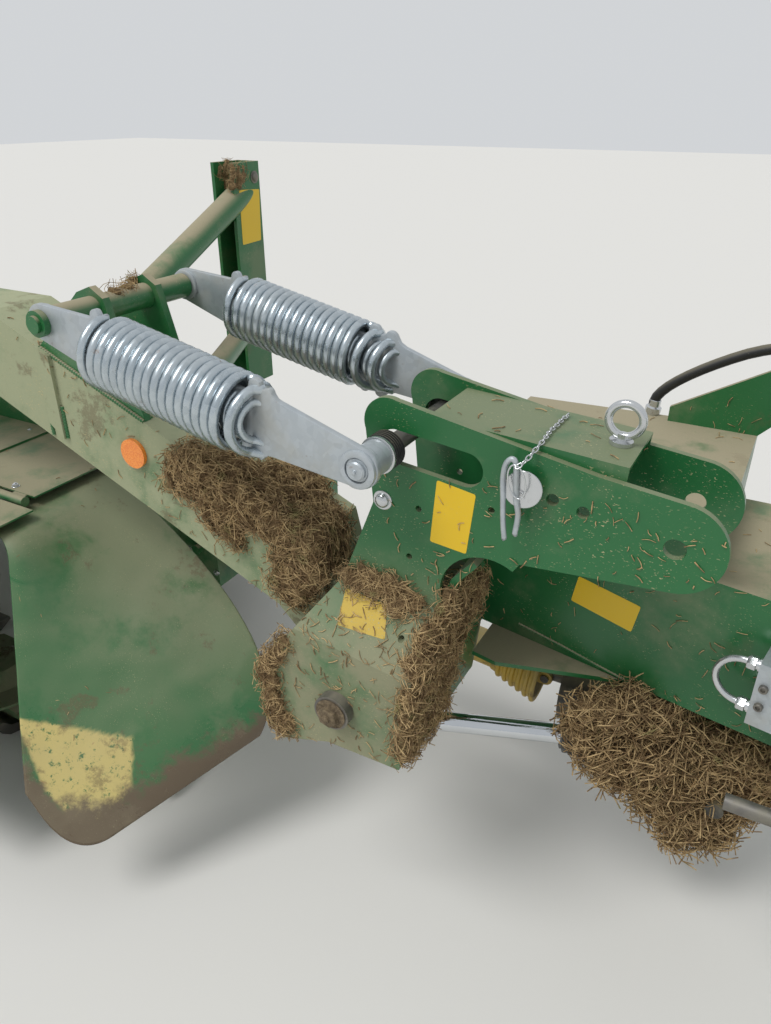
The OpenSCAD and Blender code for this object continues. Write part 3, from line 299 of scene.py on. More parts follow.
def metal(name, bright, dark, rough, crystals=0.0, rust=0.0, dust=0.0, mirror=0.85):
    material, tree, shader = new_material(name)
    place = add(tree, "ShaderNodeTexCoord").outputs["Object"]
    cells = add(tree, CELLS, None, {"Vector": place, "Scale": CRYSTALS_PER_METRE}).outputs["Color"]
    grey = add(tree, "ShaderNodeSeparateColor", None, {0: cells}).outputs[0]
    cloud = add(tree, NOISE, None, {"Vector": place, "Scale": 16, "Detail": 5, "Roughness": 0.55})
    share = add(tree, MIX, COLOURS, {"Factor": crystals, 6: cloud, 7: grey})
    colour = add(tree, MIX, COLOURS, {"Factor": share, 6: rgb(dark), 7: rgb(bright)})
    stains = add(tree, NOISE, None, {"Vector": place, "Scale": 26, "Detail": 9, "Roughness": 0.75})
    stains = add(tree, RANGE, SMOOTH, {"Value": stains, "From Min": 0.62, "From Max": 0.70})
    stains = add(tree, MATH, TIMES, {0: stains, 1: rust})
    colour = add(tree, MIX, COLOURS, {"Factor": stains, 6: colour, 7: rgb("#7c5a3c")})
    settled = add(tree, RANGE, SMOOTH, {"Value": cloud, "From Min": 0.42, "From Max": 0.75})
    settled = add(tree, MATH, TIMES, {0: settled, 1: dust})
    colour = add(tree, MIX, COLOURS, {"Factor": settled, 6: colour, 7: DUST})
    tree.links.new(colour.outputs[2], shader.inputs["Base Color"])
    cover = add(tree, MATH, GREATER, {0: stains, 1: settled})
    clean = add(tree, RANGE, None, {"Value": cover, "To Min": mirror, "To Max": 0.05})
    tree.links.new(clean.outputs[0], shader.inputs["Metallic"])
    dull = add(tree, RANGE, None, {"Value": cover, "To Min": rough, "To Max": 0.85})
    tree.links.new(dull.outputs[0], shader.inputs["Roughness"])
    grain = add(tree, NOISE, None, {"Vector": place, "Scale": 260, "Detail": 3, "Roughness": 0.55})
    bump = add(tree, BUMP, None, {"Strength": 0.2, "Distance": 0.0005, "Height": grain})
    tree.links.new(bump.outputs[0], shader.inputs["Normal"])
    return material


zinc_spring = metal("galvanised_spring_steel", "#cfd8dd", "#a3aeb5", 0.27,
                    crystals=0.35, rust=0.75, dust=0.12)
zinc_plate = metal("galvanised_plate", "#bfc6ca", "#a8afb4", 0.42,
                   crystals=0.45, rust=0.5, dust=0.35, mirror=0.55)
zinc_plated = metal("zinc_plated_steel", "#dcdedf", "#b9bcbe", 0.2, rust=0.15)
steel_bare = metal("bare_steel", "#8c8a86", "#5c5852", 0.45, rust=0.9, dust=0.5, mirror=0.75)
steel_dark = metal("rotor_steel", "#6d6964", "#46413c", 0.5, rust=0.9, dust=0.5, mirror=0.6)
chrome = metal("hard_chrome", "#d4d7da", "#c2c6ca", 0.07, mirror=1.0)
print("metals:", [finish.name for finish in (zinc_spring, zinc_plate, zinc_plated, steel_bare, chrome)])


# %% [markdown]
# Rubber, guard plastic, black paint and the film of the blank stickers are dielectrics, so they only
# differ in colour, gloss and grain, under the same dirt.

# %% Other finishes
def plain(name, light, dark, gloss, top=0.4, side=0.2, mud=0.0, chaff=0.2):
    material, tree, shader = new_material(name)
    place = add(tree, "ShaderNodeTexCoord").outputs["Object"]
    cloud = add(tree, NOISE, None, {"Vector": place, "Scale": 5, "Detail": 3, "Roughness": 0.55})
    colour = add(tree, MIX, COLOURS, {"Factor": cloud, 6: rgb(dark), 7: rgb(light)})
    dirty(tree, shader, colour, gloss, top, side, mud, chaff)
    return material


rubber = plain("black_rubber", "#2b2b2c", "#191a1b", 0.5, top=0.4, side=0.15)
black_paint = plain("black_paint", "#26282a", "#1a1b1c", 0.4, top=0.9, side=0.4, mud=0.3)
guard_plastic = plain("yellow_guard_plastic", "#b99a30", "#9a7f26", 0.45, top=0.8, side=0.45, mud=0.4)
sticker_film = plain("yellow_vinyl_film", "#e6c11f", "#d9b21a", 0.35, top=0.1, side=0.05, chaff=0.25)
worn_film = plain("yellow_vinyl_worn", "#d9b83a", "#c4a43c", 0.6, top=0.35, side=0.3, mud=0.35, chaff=0.8)
print("other finishes:", [finish.name for finish in (rubber, black_paint, guard_plastic, sticker_film)])

# %% [markdown]
# The reflector is moulded acrylic: a clear orange face over prisms 3 mm wide, which read as a fine bright
# grain.

# %% Reflector
reflector_plastic, tree, shader = new_material("orange_acrylic_reflector")
place = add(tree, "ShaderNodeTexCoord").outputs["Object"]
prisms = add(tree, CELLS, None, {"Vector": place, "Scale": 330.0}).outputs["Distance"]
prisms = add(tree, RANGE, SMOOTH, {"Value": prisms, "From Min": 0.1, "From Max": 0.7})
colour = add(tree, MIX, COLOURS, {"Factor": prisms, 6: rgb("#ffa13a"), 7: rgb("#ee7f22")})
dirty(tree, shader, colour, 0.18, top=0.2, side=0.15, mud=0.0, chaff=0.2)
shader.inputs["Coat Weight"].default_value = 0.6

# %% [markdown]
# Dry hay is matt and straw brown, with a few stems still green. Where it has felted into a mat, the single
# stems are too fine to model, so a stretched noise draws them and lifts them as bump.

# %% Hay
hay_stem, tree, shader = new_material("dry_hay")
place = add(tree, "ShaderNodeTexCoord").outputs["Object"]
faded = add(tree, NOISE, None, {"Vector": place, "Scale": 55, "Detail": 2, "Roughness": 0.55})
faded = add(tree, RANGE, SMOOTH, {"Value": faded, "From Min": 0.35, "From Max": 0.65})
colour = add(tree, MIX, COLOURS, {"Factor": faded, 6: rgb("#80684a"), 7: rgb("#c4a97c")})
green = add(tree, NOISE, None, {"Vector": place, "Scale": 23, "Detail": 2, "Roughness": 0.55})
green = add(tree, RANGE, SMOOTH, {"Value": green, "From Min": 0.60, "From Max": 0.74})
colour = add(tree, MIX, COLOURS, {"Factor": green, 6: colour, 7: rgb("#938a5c")})
tree.links.new(colour.outputs[2], shader.inputs["Base Color"])
shader.inputs["Roughness"].default_value = 0.8
shader.inputs["Specular IOR Level"].default_value = 0.25

# %% [markdown]
# Felted hay and caked mud are built alike: one noise picks between a dark and a light colour and lifts the
# light parts. Hay's noise is drawn long, and mud's is a crumbly one.

# %% Felted hay and caked mud
felting = {"Scale": 90, "Detail": 5, "Roughness": 0.7}
crumbling = {"Scale": 120, "Detail": 8, "Roughness": 0.75}
layered = {}
for name, dark, light, grain, stretch, strength, height in (
    ("felted_hay", "#59472f", "#9c825b", felting, (1.0, 3.5, 3.0), 0.9, 0.004),
    ("caked_mud", "#4b3f31", "#86765c", crumbling, None, 0.8, 0.003),
):
    layered[name], tree, shader = new_material(name)
    place = add(tree, "ShaderNodeTexCoord").outputs["Object"]
    if stretch:
        place = add(tree, STRETCH, None, {"Vector": place, "Scale": stretch, "Rotation": (0.7, 0.4, 1.0)})
    rough = add(tree, NOISE, None, {"Vector": place, **grain})
    share = add(tree, RANGE, SMOOTH, {"Value": rough, "From Min": 0.3, "From Max": 0.7})
    colour = add(tree, MIX, COLOURS, {"Factor": share, 6: rgb(dark), 7: rgb(light)})
    tree.links.new(colour.outputs[2], shader.inputs["Base Color"])
    shader.inputs["Roughness"].default_value = 0.95
    bump = add(tree, BUMP, None, {"Strength": strength, "Distance": height, "Height": rough})
    tree.links.new(bump.outputs[0], shader.inputs["Normal"])
hay_felt, caked_mud = layered["felted_hay"], layered["caked_mud"]
print("hay and mud:", list(layered))

# %% [markdown]
# The pieces that the frame brings already have the right shape, so each only gets its finish. A table pairs
# them, which keeps the whole choice in one place.

# %% Finishes of the frame's pieces
FINISHES = {
    green_clean: ["hinge_plate_front", "hinge_plate_rear", "spacer_channel"],
    green_beam: ["main_beam", "clevis_web", "headstock_frame", "parking_leg", "rear_post",
                 "spring_lugs"],
    green_boom: ["boom_beam"],
    green_mower: ["mower_frame", "conditioner_hood", "mower_gearbox", "top_cover", "front_guard",
                  "outer_guard", "swath_board_inner", "swath_board_outer"],
    green_muddy: ["guard_corner", "cutter_bar"] + [f"disc_{i}" for i in range(1, 7)],
    zinc_spring: ["spring_coil_front", "spring_coil_rear"],
    zinc_plate: ["spring_outer_plates", "spring_inner_plates", "valve_block"],
    zinc_plated: ["lifting_eye", "adjusting_pin", "steel_pipe"],
    steel_bare: ["king_pin", "lower_hitch_pins", "pivot_pin", "spring_pin", "hanging_pin", "skid_shoes"],
    steel_dark: ["conditioner_rotor"],
    chrome: ["cylinder_rod"],
    black_paint: ["input_gearbox", "cylinder_barrel"],
    rubber: ["hydraulic_hoses", "pin_boots"],
    guard_plastic: ["driveline_outer", "driveline_inner"],
    reflector_plastic: ["side_reflector"],
}
for finish, names in FINISHES.items():
    for name in names:
        mesh = nodes[name].data
        mesh.materials.clear()
        mesh.materials.append(finish)
print("finishes set on", sum(len(names) for names in FINISHES.values()), "pieces")

# %% [markdown]
# New pieces are plain meshes with their place in the mesh, so that every pattern stays where it is when a
# body moves. One function turns lists of corners and faces into such a piece and lets it ride on its
# body.

# %% Making a piece
def piece(name, corners, faces, body, finish, smooth=True, replaces=()):
    mesh = bpy.data.meshes.new(name)
    mesh.from_pydata([tuple(corner) for corner in corners], [], faces)
    mesh.materials.append(finish)
    mesh.polygons.foreach_set("use_smooth", [smooth] * len(mesh.polygons))
    return settle(bpy.data.objects.new(name, mesh), body, replaces)


def settle(thing, body, replaces=()):
    if thing.name not in bpy.context.scene.collection.objects:
        bpy.context.scene.collection.objects.link(thing)
    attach(thing, body)
    if replaces:
        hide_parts(*replaces)
    return thing


def applied(thing):
    """Replaces a thing's mesh by what its modifiers make of it."""
    bpy.context.view_layer.update()
    made = bpy.data.meshes.new_from_object(thing.evaluated_get(bpy.context.evaluated_depsgraph_get()))
    thing.modifiers.clear()
    thing.data = made
    return thing


# %% [markdown]
# A spring, a hose, a chain link, a weld or a stem of hay is a round section that follows a path. A small
# Geometry Nodes tree does that for all of them: it turns the edges of a mesh into curves, rounds them
# through their points, and sweeps a circle along. The thickness rides on the points as an attribute, so
# that a wire can end in a rounded tip.

# %% A tree that sweeps wires
def new_tree(name, inputs):
    tree = bpy.data.node_groups.new(name, "GeometryNodeTree")
    tree.interface.new_socket("Geometry", in_out="OUTPUT", socket_type="NodeSocketGeometry")
    for label, kind in [("Geometry", "NodeSocketGeometry")] + inputs:
        tree.interface.new_socket(label, in_out="INPUT", socket_type=kind)
    return tree, tree.nodes.new("NodeGroupInput").outputs


def finish_tree(tree, grown, material):
    real = add(tree, "GeometryNodeRealizeInstances", None, {0: grown})
    soft = add(tree, "GeometryNodeSetShadeSmooth", None, {0: real.outputs[0]})
    coated = add(tree, "GeometryNodeSetMaterial", None, {0: soft.outputs[0], "Material": material})
    add(tree, "NodeGroupOutput", None, {0: coated.outputs[0]})


def grow(name, tree, mesh, values, body, replaces=()):
    """Runs a tree on a mesh and keeps the result as a plain mesh that rides on a body."""
    thing = bpy.data.objects.new(name, mesh)
    bpy.context.scene.collection.objects.link(thing)
    modifier = thing.modifiers.new("grow", "NODES")
    modifier.node_group = tree
    sockets = {item.name: item.identifier for item in tree.interface.items_tree if item.in_out == "INPUT"}
    for label, value in values.items():
        modifier[sockets[label]] = value
    return settle(applied(thing), body, replaces)


wire_tree, wire_in = new_tree("sweep_wire", [("Sides", "NodeSocketInt"), ("Steps", "NodeSocketInt"),
                                             ("Finish", "NodeSocketMaterial")])
lines = add(wire_tree, "GeometryNodeMeshToCurve", None, {0: wire_in["Geometry"]})
rounded = add(wire_tree, "GeometryNodeCurveSplineType", {"spline_type": "CATMULL_ROM"}, {0: lines.outputs[0]})
finer = add(wire_tree, "GeometryNodeSetSplineResolution", None,
            {0: rounded.outputs[0], "Resolution": wire_in["Steps"]})
ring = add(wire_tree, "GeometryNodeCurvePrimitiveCircle", None,
           {"Resolution": wire_in["Sides"], "Radius": 1.0})
thick = add(wire_tree, "GeometryNodeInputNamedAttribute", {"data_type": "FLOAT"}, {"Name": "thick"})
swept = add(wire_tree, "GeometryNodeCurveToMesh", None,
            {"Curve": finer.outputs[0], "Profile Curve": ring.outputs[0], "Scale": thick.outputs[0],
             "Fill Caps": True})
finish_tree(wire_tree, swept.outputs[0], wire_in["Finish"])
TIP_REACH, TIP_THICK = (0.12, 0.33, 0.45), (0.96, 0.75, 0.3)


def wires(name, body, finish, runs, sides=10, steps=1, tip=True, closed=False, replaces=()):
    """Sweeps round wires along runs, each a list of points with a radius in metres."""
    points, edges, radii = [], [], []
    for run, radius in runs:
        run = [Vector(point) for point in run]
        share = [1.0] * len(run)
        if tip and not closed:
            start, end = (run[0] - run[1]).normalized(), (run[-1] - run[-2]).normalized()
            first = [run[0] + start * radius * reach for reach in reversed(TIP_REACH)]
            last = [run[-1] + end * radius * reach for reach in TIP_REACH]
            run = first + run + last
            share = [*reversed(TIP_THICK), *share, *TIP_THICK]
        base = len(points)
        points += run
        radii += [radius * part for part in share]
        edges += [(base + i, base + i + 1) for i in range(len(run) - 1)]
        if closed:
            edges.append((base + len(run) - 1, base))
    mesh = bpy.data.meshes.new(name)
    mesh.from_pydata(points, edges, [])
    mesh.attributes.new("thick", "FLOAT", "POINT").data.foreach_set("value", radii)
    return grow(name, wire_tree, mesh, {"Sides": sides, "Steps": steps, "Finish": finish}, body, replaces)


# %% [markdown]
# Pins, washers, boots and bolt heads are turned parts: a profile of radii along an axis, spun round. The
# profile is given in millimetres as pairs of a distance along the axis and a radius.

# %% Turned parts
def turned(profile, start, axis, sides=32):
    axis = Vector(axis).normalized()
    side = axis.orthogonal().normalized()
    other = axis.cross(side)
    corners, faces = [], []
    for along, radius in profile:
        for k in range(sides):
            angle = 2 * math.pi * k / sides
            spoke = side * math.cos(angle) + other * math.sin(angle)
            corners.append(start + axis * along / 1000 + spoke * max(radius, 0.01) / 1000)
    for ring_no in range(len(profile) - 1):
        for k in range(sides):
            a, b = ring_no * sides + k, ring_no * sides + (k + 1) % sides
            faces.append((a, b, b + sides, a + sides))
    faces.append(tuple(reversed(range(sides))))
    faces.append(tuple(range(len(corners) - sides, len(corners))))
    return corners, faces


def joined(parts):
    corners, faces = [], []
    for more_corners, more_faces in parts:
        faces += [tuple(len(corners) + k for k in face) for face in more_faces]
        corners += more_corners
    return corners, faces


def crisp(thing, degrees=35):
    """Keeps a turned part's edges sharp and the rest smooth."""
    thing.data.set_sharp_from_angle(angle=math.radians(degrees))
    return thing


def turned_piece(name, parts, body, finish, replaces=()):
    corners, faces = joined(parts)
    return crisp(piece(name, corners, faces, body, finish, replaces=replaces))


# %% [markdown]
# A plate is cut from sheet: an outline, pulled to its thickness, with its edges slightly broken. A narrow
# bevel on every edge catches the light, as the real one does.

# %% Plates
def plate(name, outlines, thickness, place, body, finish, broken=0.0012, replaces=()):
    """Plates from outlines of (x, z); place(x, across, z) says where a point goes."""
    shape = bmesh.new()
    for outline in outlines:
        low = [shape.verts.new(place(x, -thickness / 2, z)) for x, z in outline]
        high = [shape.verts.new(place(x, thickness / 2, z)) for x, z in outline]
        shape.faces.new(low)
        shape.faces.new(list(reversed(high)))
        for k in range(len(outline)):
            m = (k + 1) % len(outline)
            shape.faces.new((low[m], low[k], high[k], high[m]))
    bmesh.ops.recalc_face_normals(shape, faces=shape.faces)
    mesh = bpy.data.meshes.new(name)
    shape.to_mesh(mesh)
    shape.free()
    mesh.materials.append(finish)
    thing = bpy.data.objects.new(name, mesh)
    bpy.context.scene.collection.objects.link(thing)
    edge = thing.modifiers.new("broken_edges", "BEVEL")
    edge.width, edge.segments, edge.limit_method = broken, 2, "ANGLE"
    edge.angle_limit = math.radians(40)
    applied(thing)
    thing.data.polygons.foreach_set("use_smooth", [True] * len(thing.data.polygons))
    crisp(thing, 30)
    return settle(thing, body, replaces)


# %% [markdown]
# The relief springs carry most of the mower's weight. Each is an outer coil of 16 mm wire with a thinner
# one inside it, and both pass through holes in flat plates: that shows as nested arcs on both faces of a
# plate, and as a lobed edge where the holes come near it. The coils are drawn along the spring's own
# axis, which leans down towards the tractor. All lengths are millimetres along, across and above that
# axis.

# %% Springs
SPRING_START, SPRING_END = (-560, 1218), (67, 1083.5)
spring_lean = math.atan2(SPRING_START[1] - SPRING_END[1], SPRING_END[0] - SPRING_START[0])
SPRING_HALF_GAP, SPRING_LENGTH = 180, 641.3
COIL_R, COIL_WIRE_R, COIL_STEPS, COIL_TURNS = 56, 8, 28, 17
COIL_START, FIRST_PITCH, PITCH = 142, 23, 16.5
INNER_R, INNER_WIRE_R, INNER_STEPS, INNER_START, INNER_PITCH = 32, 6.5, 20, 400, 13.5


def on_spring(side, x, y, z):
    return at(SPRING_START[0] + x * math.cos(spring_lean) + z * math.sin(spring_lean),
              side * SPRING_HALF_GAP + y,
              SPRING_START[1] - x * math.sin(spring_lean) + z * math.cos(spring_lean))


def coil(side):
    """The outer coil from the outer plate's lobe to the last full turn; its first turn opens wider."""
    run = [(COIL_START + 2, 0, COIL_R - 20), (COIL_START + 1, -2, COIL_R - 10)]
    for k in range(COIL_TURNS * COIL_STEPS):
        turns = k / COIL_STEPS
        x = COIL_START + (FIRST_PITCH * turns if turns < 1 else FIRST_PITCH + PITCH * (turns - 1))
        angle = 2 * math.pi * turns
        run.append((x, -COIL_R * math.sin(angle), COIL_R * math.cos(angle)))
    return [on_spring(side, *point) for point in run], COIL_WIRE_R / 1000


def inner_coil(side):
    """The thinner coil inside, as far as one can see into the outer one."""
    run = []
    for k in range(50):
        turns = k / INNER_STEPS
        angle = 2 * math.pi * turns
        run.append((INNER_START + INNER_PITCH * turns, -INNER_R * math.sin(angle), INNER_R * math.cos(angle)))
    return [on_spring(side, *point) for point in run], INNER_WIRE_R / 1000


def hook(side, face, x, radius, wire, lean=13):
    """Half a turn of wire this thick on one face of a plate; its ends go into the plate."""
    run = [(x + lean + 8, 0, radius)]
    for k in range(13):
        angle = math.pi * (0.06 + 0.88 * k / 12)
        run.append((x + lean * (1 - math.sin(angle)) + 0.06 * wire * k, face * radius * math.sin(angle),
                    radius * math.cos(angle)))
    run.append((x + lean + 8 + wire, 0, -radius))
    return [on_spring(side, *point) for point in run], wire / 2000


FRONT_HOOKS = [(436, 52, 16), (440, 32, 13)]
REAR_HOOKS = [(436, 52, 16), (450, 36, 13), (468, 45, 16), (483, 31, 13)]
OUTER_HOOKS = [(126, 31, 13)]
SIDES = ((-1, "front"), (1, "rear"))
for (side, label), hooks in zip(SIDES, (FRONT_HOOKS, REAR_HOOKS)):
    runs = [coil(side), inner_coil(side)]
    runs += [hook(side, face, *values) for values in hooks + OUTER_HOOKS for face in (-1, 1)]
    made = wires(f"spring_wires_{label}", "springs", zinc_spring, runs, sides=14,
                 replaces=[f"spring_coil_{label}"])
    print(made.name, len(made.data.polygons), "faces")

# %% [markdown]
# The springs' end plates are 12 mm sheet. Only the upper half of an outline is given, as arcs round the
# hooks' holes and round the pin's eye, because the lower half mirrors it.

# %% Spring plates
PLATE_THICK, HALF_NECK, EYE_R = 12, 42, 32


def lobed(points):
    """A plate's outline from its upper half, mirrored below the axis."""
    return points + [(x, -z) for x, z in reversed(points) if z > 0.01]


def arc(cx, cz, radius, start, end, steps):
    """Points on an arc round (cx, cz), from one angle in degrees to another."""
    angles = [math.radians(start + (end - start) * k / steps) for k in range(steps + 1)]
    return [(cx + radius * math.cos(angle), cz + radius * math.sin(angle)) for angle in angles]


inner_neck = [(385, HALF_NECK), (434, HALF_NECK), (436, 60)] + arc(447, 55, 12, 150, 50, 6)
inner_eye = arc(SPRING_LENGTH, 0, EYE_R, 85, 0, 10)
FRONT_TOP = [*inner_neck, *arc(462, 63, 7, 230, 300, 3), *arc(468, 50, 12, 70, 20, 4), (486, 48), (494, 46.5),
             *inner_eye]
REAR_TOP = [*inner_neck, *arc(464, 62, 8, 230, 310, 3), *arc(482, 52, 14, 125, 30, 6), (502, 50), (514, 46),
            *inner_eye]
OUTER_TOP = [*arc(0, 0, EYE_R, 180, 98, 10), (104, 46), (112, 47), *arc(124, 54, 11, 190, 70, 6),
             *arc(137, 62, 6, 200, 300, 3), (146, 60), (149, HALF_NECK), (205, HALF_NECK)]
for end, tops in (("inner", (FRONT_TOP, REAR_TOP)), ("outer", (OUTER_TOP, OUTER_TOP))):
    for (side, label), top in zip(SIDES, tops):
        plate(f"spring_plate_{end}_{label}", [lobed(top)], PLATE_THICK,
              lambda x, y, z: on_spring(side, x, y, z), "springs", zinc_plate, 0.0018,
              [f"spring_{end}_plates"])
print("spring plates made: 4")

# %% [markdown]
# The pin that both springs pull on carries, from the outside in: a head with a snap ring and a grease
# nipple, a raised washer welded to the plate's eye, a sleeve, a grey ring, and a ribbed rubber boot that
# keeps crop out of the slot. All of them are turned parts on one axis, so one table of profiles makes
# both sides.

# %% Pin, sleeves and boots
EYE_RING = [(0, 14), (0, 30), (3, 30.5), (6, 29.5), (7, 27), (7, 21.5), (6.4, 20), (2, 19.5), (2, 14)]
PIN_END = [(-40, 15), (9, 15), (11.5, 13), (12, 4), (12.5, 3.4), (16, 3.2), (16.5, 2)]
SNAP_RING = [(2.5, 15), (2.5, 18), (4.5, 18), (4.5, 15)]
PLAIN_RING = EYE_RING[:5] + [(6, 16)]
for side, label in SIDES:
    outward = Vector((0, side, 0))
    plate_face = on_spring(side, SPRING_LENGTH, side * PLATE_THICK / 2, 0)
    plate_back = on_spring(side, SPRING_LENGTH, -side * PLATE_THICK / 2, 0)
    outer_back = on_spring(side, 0, -side * PLATE_THICK / 2, 0)
    for ring_name, ring, start, way in (("inner", EYE_RING, plate_face, outward),
                                        ("back", PLAIN_RING, plate_back, -outward),
                                        ("outer", PLAIN_RING, outer_back, -outward)):
        turned_piece(f"eye_ring_{ring_name}_{label}", [turned(ring, start, way, 40)], "springs", zinc_plate)
    pin_end = [turned(profile, plate_face, outward, 32) for profile in (PIN_END, SNAP_RING)]
    turned_piece(f"spring_pin_{label}", pin_end, "springs", zinc_plate, replaces=["spring_pin"])
spring_middle = on_spring(0, SPRING_LENGTH, 0, 0)
turned_piece("spring_pin_shank", [turned([(-170, 15), (170, 15)], spring_middle, (0, 1, 0))], "springs",
             steel_bare, replaces=["spring_pin"])
SLEEVE = [(0, 16), (0, 26), (1, 27), (40, 27), (41, 26), (41, 16)]
GREY_RING = [(41, 16), (41, 28), (42, 30), (47, 30), (48, 28), (48, 16)]
BOOT = [(48, 16), (48, 25)]
RIB_PITCH = 5.4
ONE_RIB = [(49.5, 25.5), (51, 30.5), (52.6, 30.5), (54, 25.5)]
for k in range(5):
    BOOT += [(along + k * RIB_PITCH, radius) for along, radius in ONE_RIB]
BOOT += [(76, 25), (76, 16)]
turned_boots, turned_rings, turned_sleeves = [], [], []
for side in (-1, 1):
    inward = Vector((0, -side, 0))
    start = on_spring(side, SPRING_LENGTH, -side * 7, 0)
    turned_sleeves.append(turned(SLEEVE, start, inward, 36))
    turned_rings.append(turned(GREY_RING, start, inward, 36))
    turned_boots.append(turned(BOOT, start, inward, 36))
turned_piece("pin_sleeves", turned_sleeves, "springs", zinc_plate, replaces=["pin_boots"])
turned_piece("pin_rings", turned_rings, "springs", zinc_plated, replaces=["pin_boots"])
turned_piece("pin_ribbed_boots", turned_boots, "springs", rubber, replaces=["pin_boots"])
print("turned parts on the spring pin:", len(turned_boots) * 3 + 6)

# %% [markdown]
# The guard's inner corner is pressed from one sheet: a dusty top that turns over a rounded fold into a
# skirt, with a rounded ridge down its front corner. The skirt flares out as it goes down. Three points at
# the top and three at the lower edge set its form, in millimetres from the lift pivot, and one function
# finds any point between them.

# %% Form of the guard's corner
TOP_RING = [(-780, 101, 754), (-735, -205, 754), (-762, -222, 754)]
LOW_RING = [(-280, -60, 300), (-500, -425, 150), (-600, -425, 300)]
BELLY, PLATE_EDGE_X = 170, -900
RIDGE_FROM, RIDGE_TO = 0.72, 0.96


def ring_point(share, down):
    """A point of the skirt: share runs from its rear end to its front end, down from its top to its edge."""
    rear, ridge, end = [Vector(a).lerp(Vector(b), down) for a, b in zip(TOP_RING, LOW_RING)]
    rear.x += BELLY * 4 * down * (1 - down)
    near, far = ridge.lerp(rear, 0.2), ridge.lerp(end, 0.75)
    if share < RIDGE_FROM:
        return rear.lerp(near, share / RIDGE_FROM)
    if share > RIDGE_TO:
        return far.lerp(end, (share - RIDGE_TO) / (1 - RIDGE_TO))
    bend = (share - RIDGE_FROM) / (RIDGE_TO - RIDGE_FROM)
    return near.lerp(ridge, bend).lerp(ridge.lerp(far, bend), bend)


print("the ridge ends at", [round(value) for value in ring_point(0.84, 1)])

# %% [markdown]
# The sheet is a grid of columns, each of which runs in along the top plate, round the fold and down the
# skirt. Small dents from years of stones push it in. The yellow tip is an outline in the picture, and
# each point of the grid stores whether it lies inside. The sheet's thickness comes last.

# %% Guard corner
ROWS, COLUMNS, FOLD_ROWS, PLATE_ROWS = 96, 110, 10, 24
FOLD_REACH, FOLD_SHARE, LIP_ROWS, SHEET = 40, 0.1, 12, 0.004
DENT_WAVES, DEEPEST_OUTWARD = ((0.006, 7), (0.017, 2.5)), 2.0
corners, faces, yellow, edge_near = [], [], [], []
YELLOW_TIP = [Vector(spot) for spot in ((15, 717), (133, 738), (132, 790), (88, 836), (44, 790))]


def depth_inside(spot, outline):
    """How far a picture point lies inside a convex outline that runs clockwise, in pixels."""
    return min((b - a).normalized().cross(spot - a) for a, b in zip(outline, outline[1:] + outline[:1]))


for i in range(COLUMNS + 1):
    share = i / COLUMNS
    top = ring_point(share, 0)
    inner = Vector((PLATE_EDGE_X, min(max(top.y, TOP_RING[2][1]), TOP_RING[0][1]), top.z))
    fold_start = top + (inner - top).normalized() * FOLD_REACH
    fold_end = ring_point(share, FOLD_SHARE)
    for k in range(PLATE_ROWS):
        corners.append(inner.lerp(fold_start, k / PLATE_ROWS))
    for k in range(FOLD_ROWS):
        turn = k / FOLD_ROWS
        corners.append(fold_start.lerp(top, turn).lerp(top.lerp(fold_end, turn), turn))
    for k in range(ROWS + 1):
        corners.append(ring_point(share, FOLD_SHARE + (1 - FOLD_SHARE) * k / ROWS))
height = PLATE_ROWS + FOLD_ROWS + ROWS + 1
for i in range(COLUMNS):
    for k in range(height - 1):
        a = i * height + k
        faces.append((a, a + height, a + height + 1, a + 1))
placed = []
for number, corner in enumerate(corners):
    down = (number % height) / height
    rim = min(1.0, (height - 1 - number % height) / LIP_ROWS)
    dent = sum(noise.noise(corner * waves) * depth for waves, depth in DENT_WAVES)
    facing = Vector((0.55, -0.75, 0.35)).normalized() if down > 0.3 else Vector((0, 0, 1))
    push = min(dent, DEEPEST_OUTWARD) * rim * (0.25 + 0.75 * down)
    placed.append(at(*(corner + facing * push)))
for number, spot in enumerate(placed):
    down = max(0, number % height - PLATE_ROWS - FOLD_ROWS) / ROWS
    wave = noise.noise(spot * 60) * 2
    deep = depth_inside(picture(spot), YELLOW_TIP) + wave
    share = (number // height) / COLUMNS
    yellow.append(min(1.0, max(0.0, 0.5 + deep / 3)) if down > 0.5 and share > 0.35 else 0.0)
    edge_near.append(down ** 3.5)
mesh = bpy.data.meshes.new("guard_corner_sheet")
mesh.from_pydata(placed, [], faces)
mesh.materials.append(guard_enamel)
mesh.polygons.foreach_set("use_smooth", [True] * len(mesh.polygons))
mesh.attributes.new("yellow_tip", "FLOAT", "POINT").data.foreach_set("value", yellow)
mesh.attributes.new("near_the_edge", "FLOAT", "POINT").data.foreach_set("value", edge_near)
guard = bpy.data.objects.new("guard_corner_sheet", mesh)
bpy.context.scene.collection.objects.link(guard)
thickness = guard.modifiers.new("sheet", "SOLIDIFY")
thickness.thickness, thickness.offset = SHEET, 0
settle(applied(guard), "mower", ["guard_corner"])
print("guard corner:", len(guard.data.polygons), "faces,", int(sum(yellow)), "points are yellow")

# %% [markdown]
# Bolt and rivet heads repeat all over the machine, so one tree sets a head on every point of a list, turned
# to the way that the point faces, and scaled to its size. A head is a turned part of radius 1.

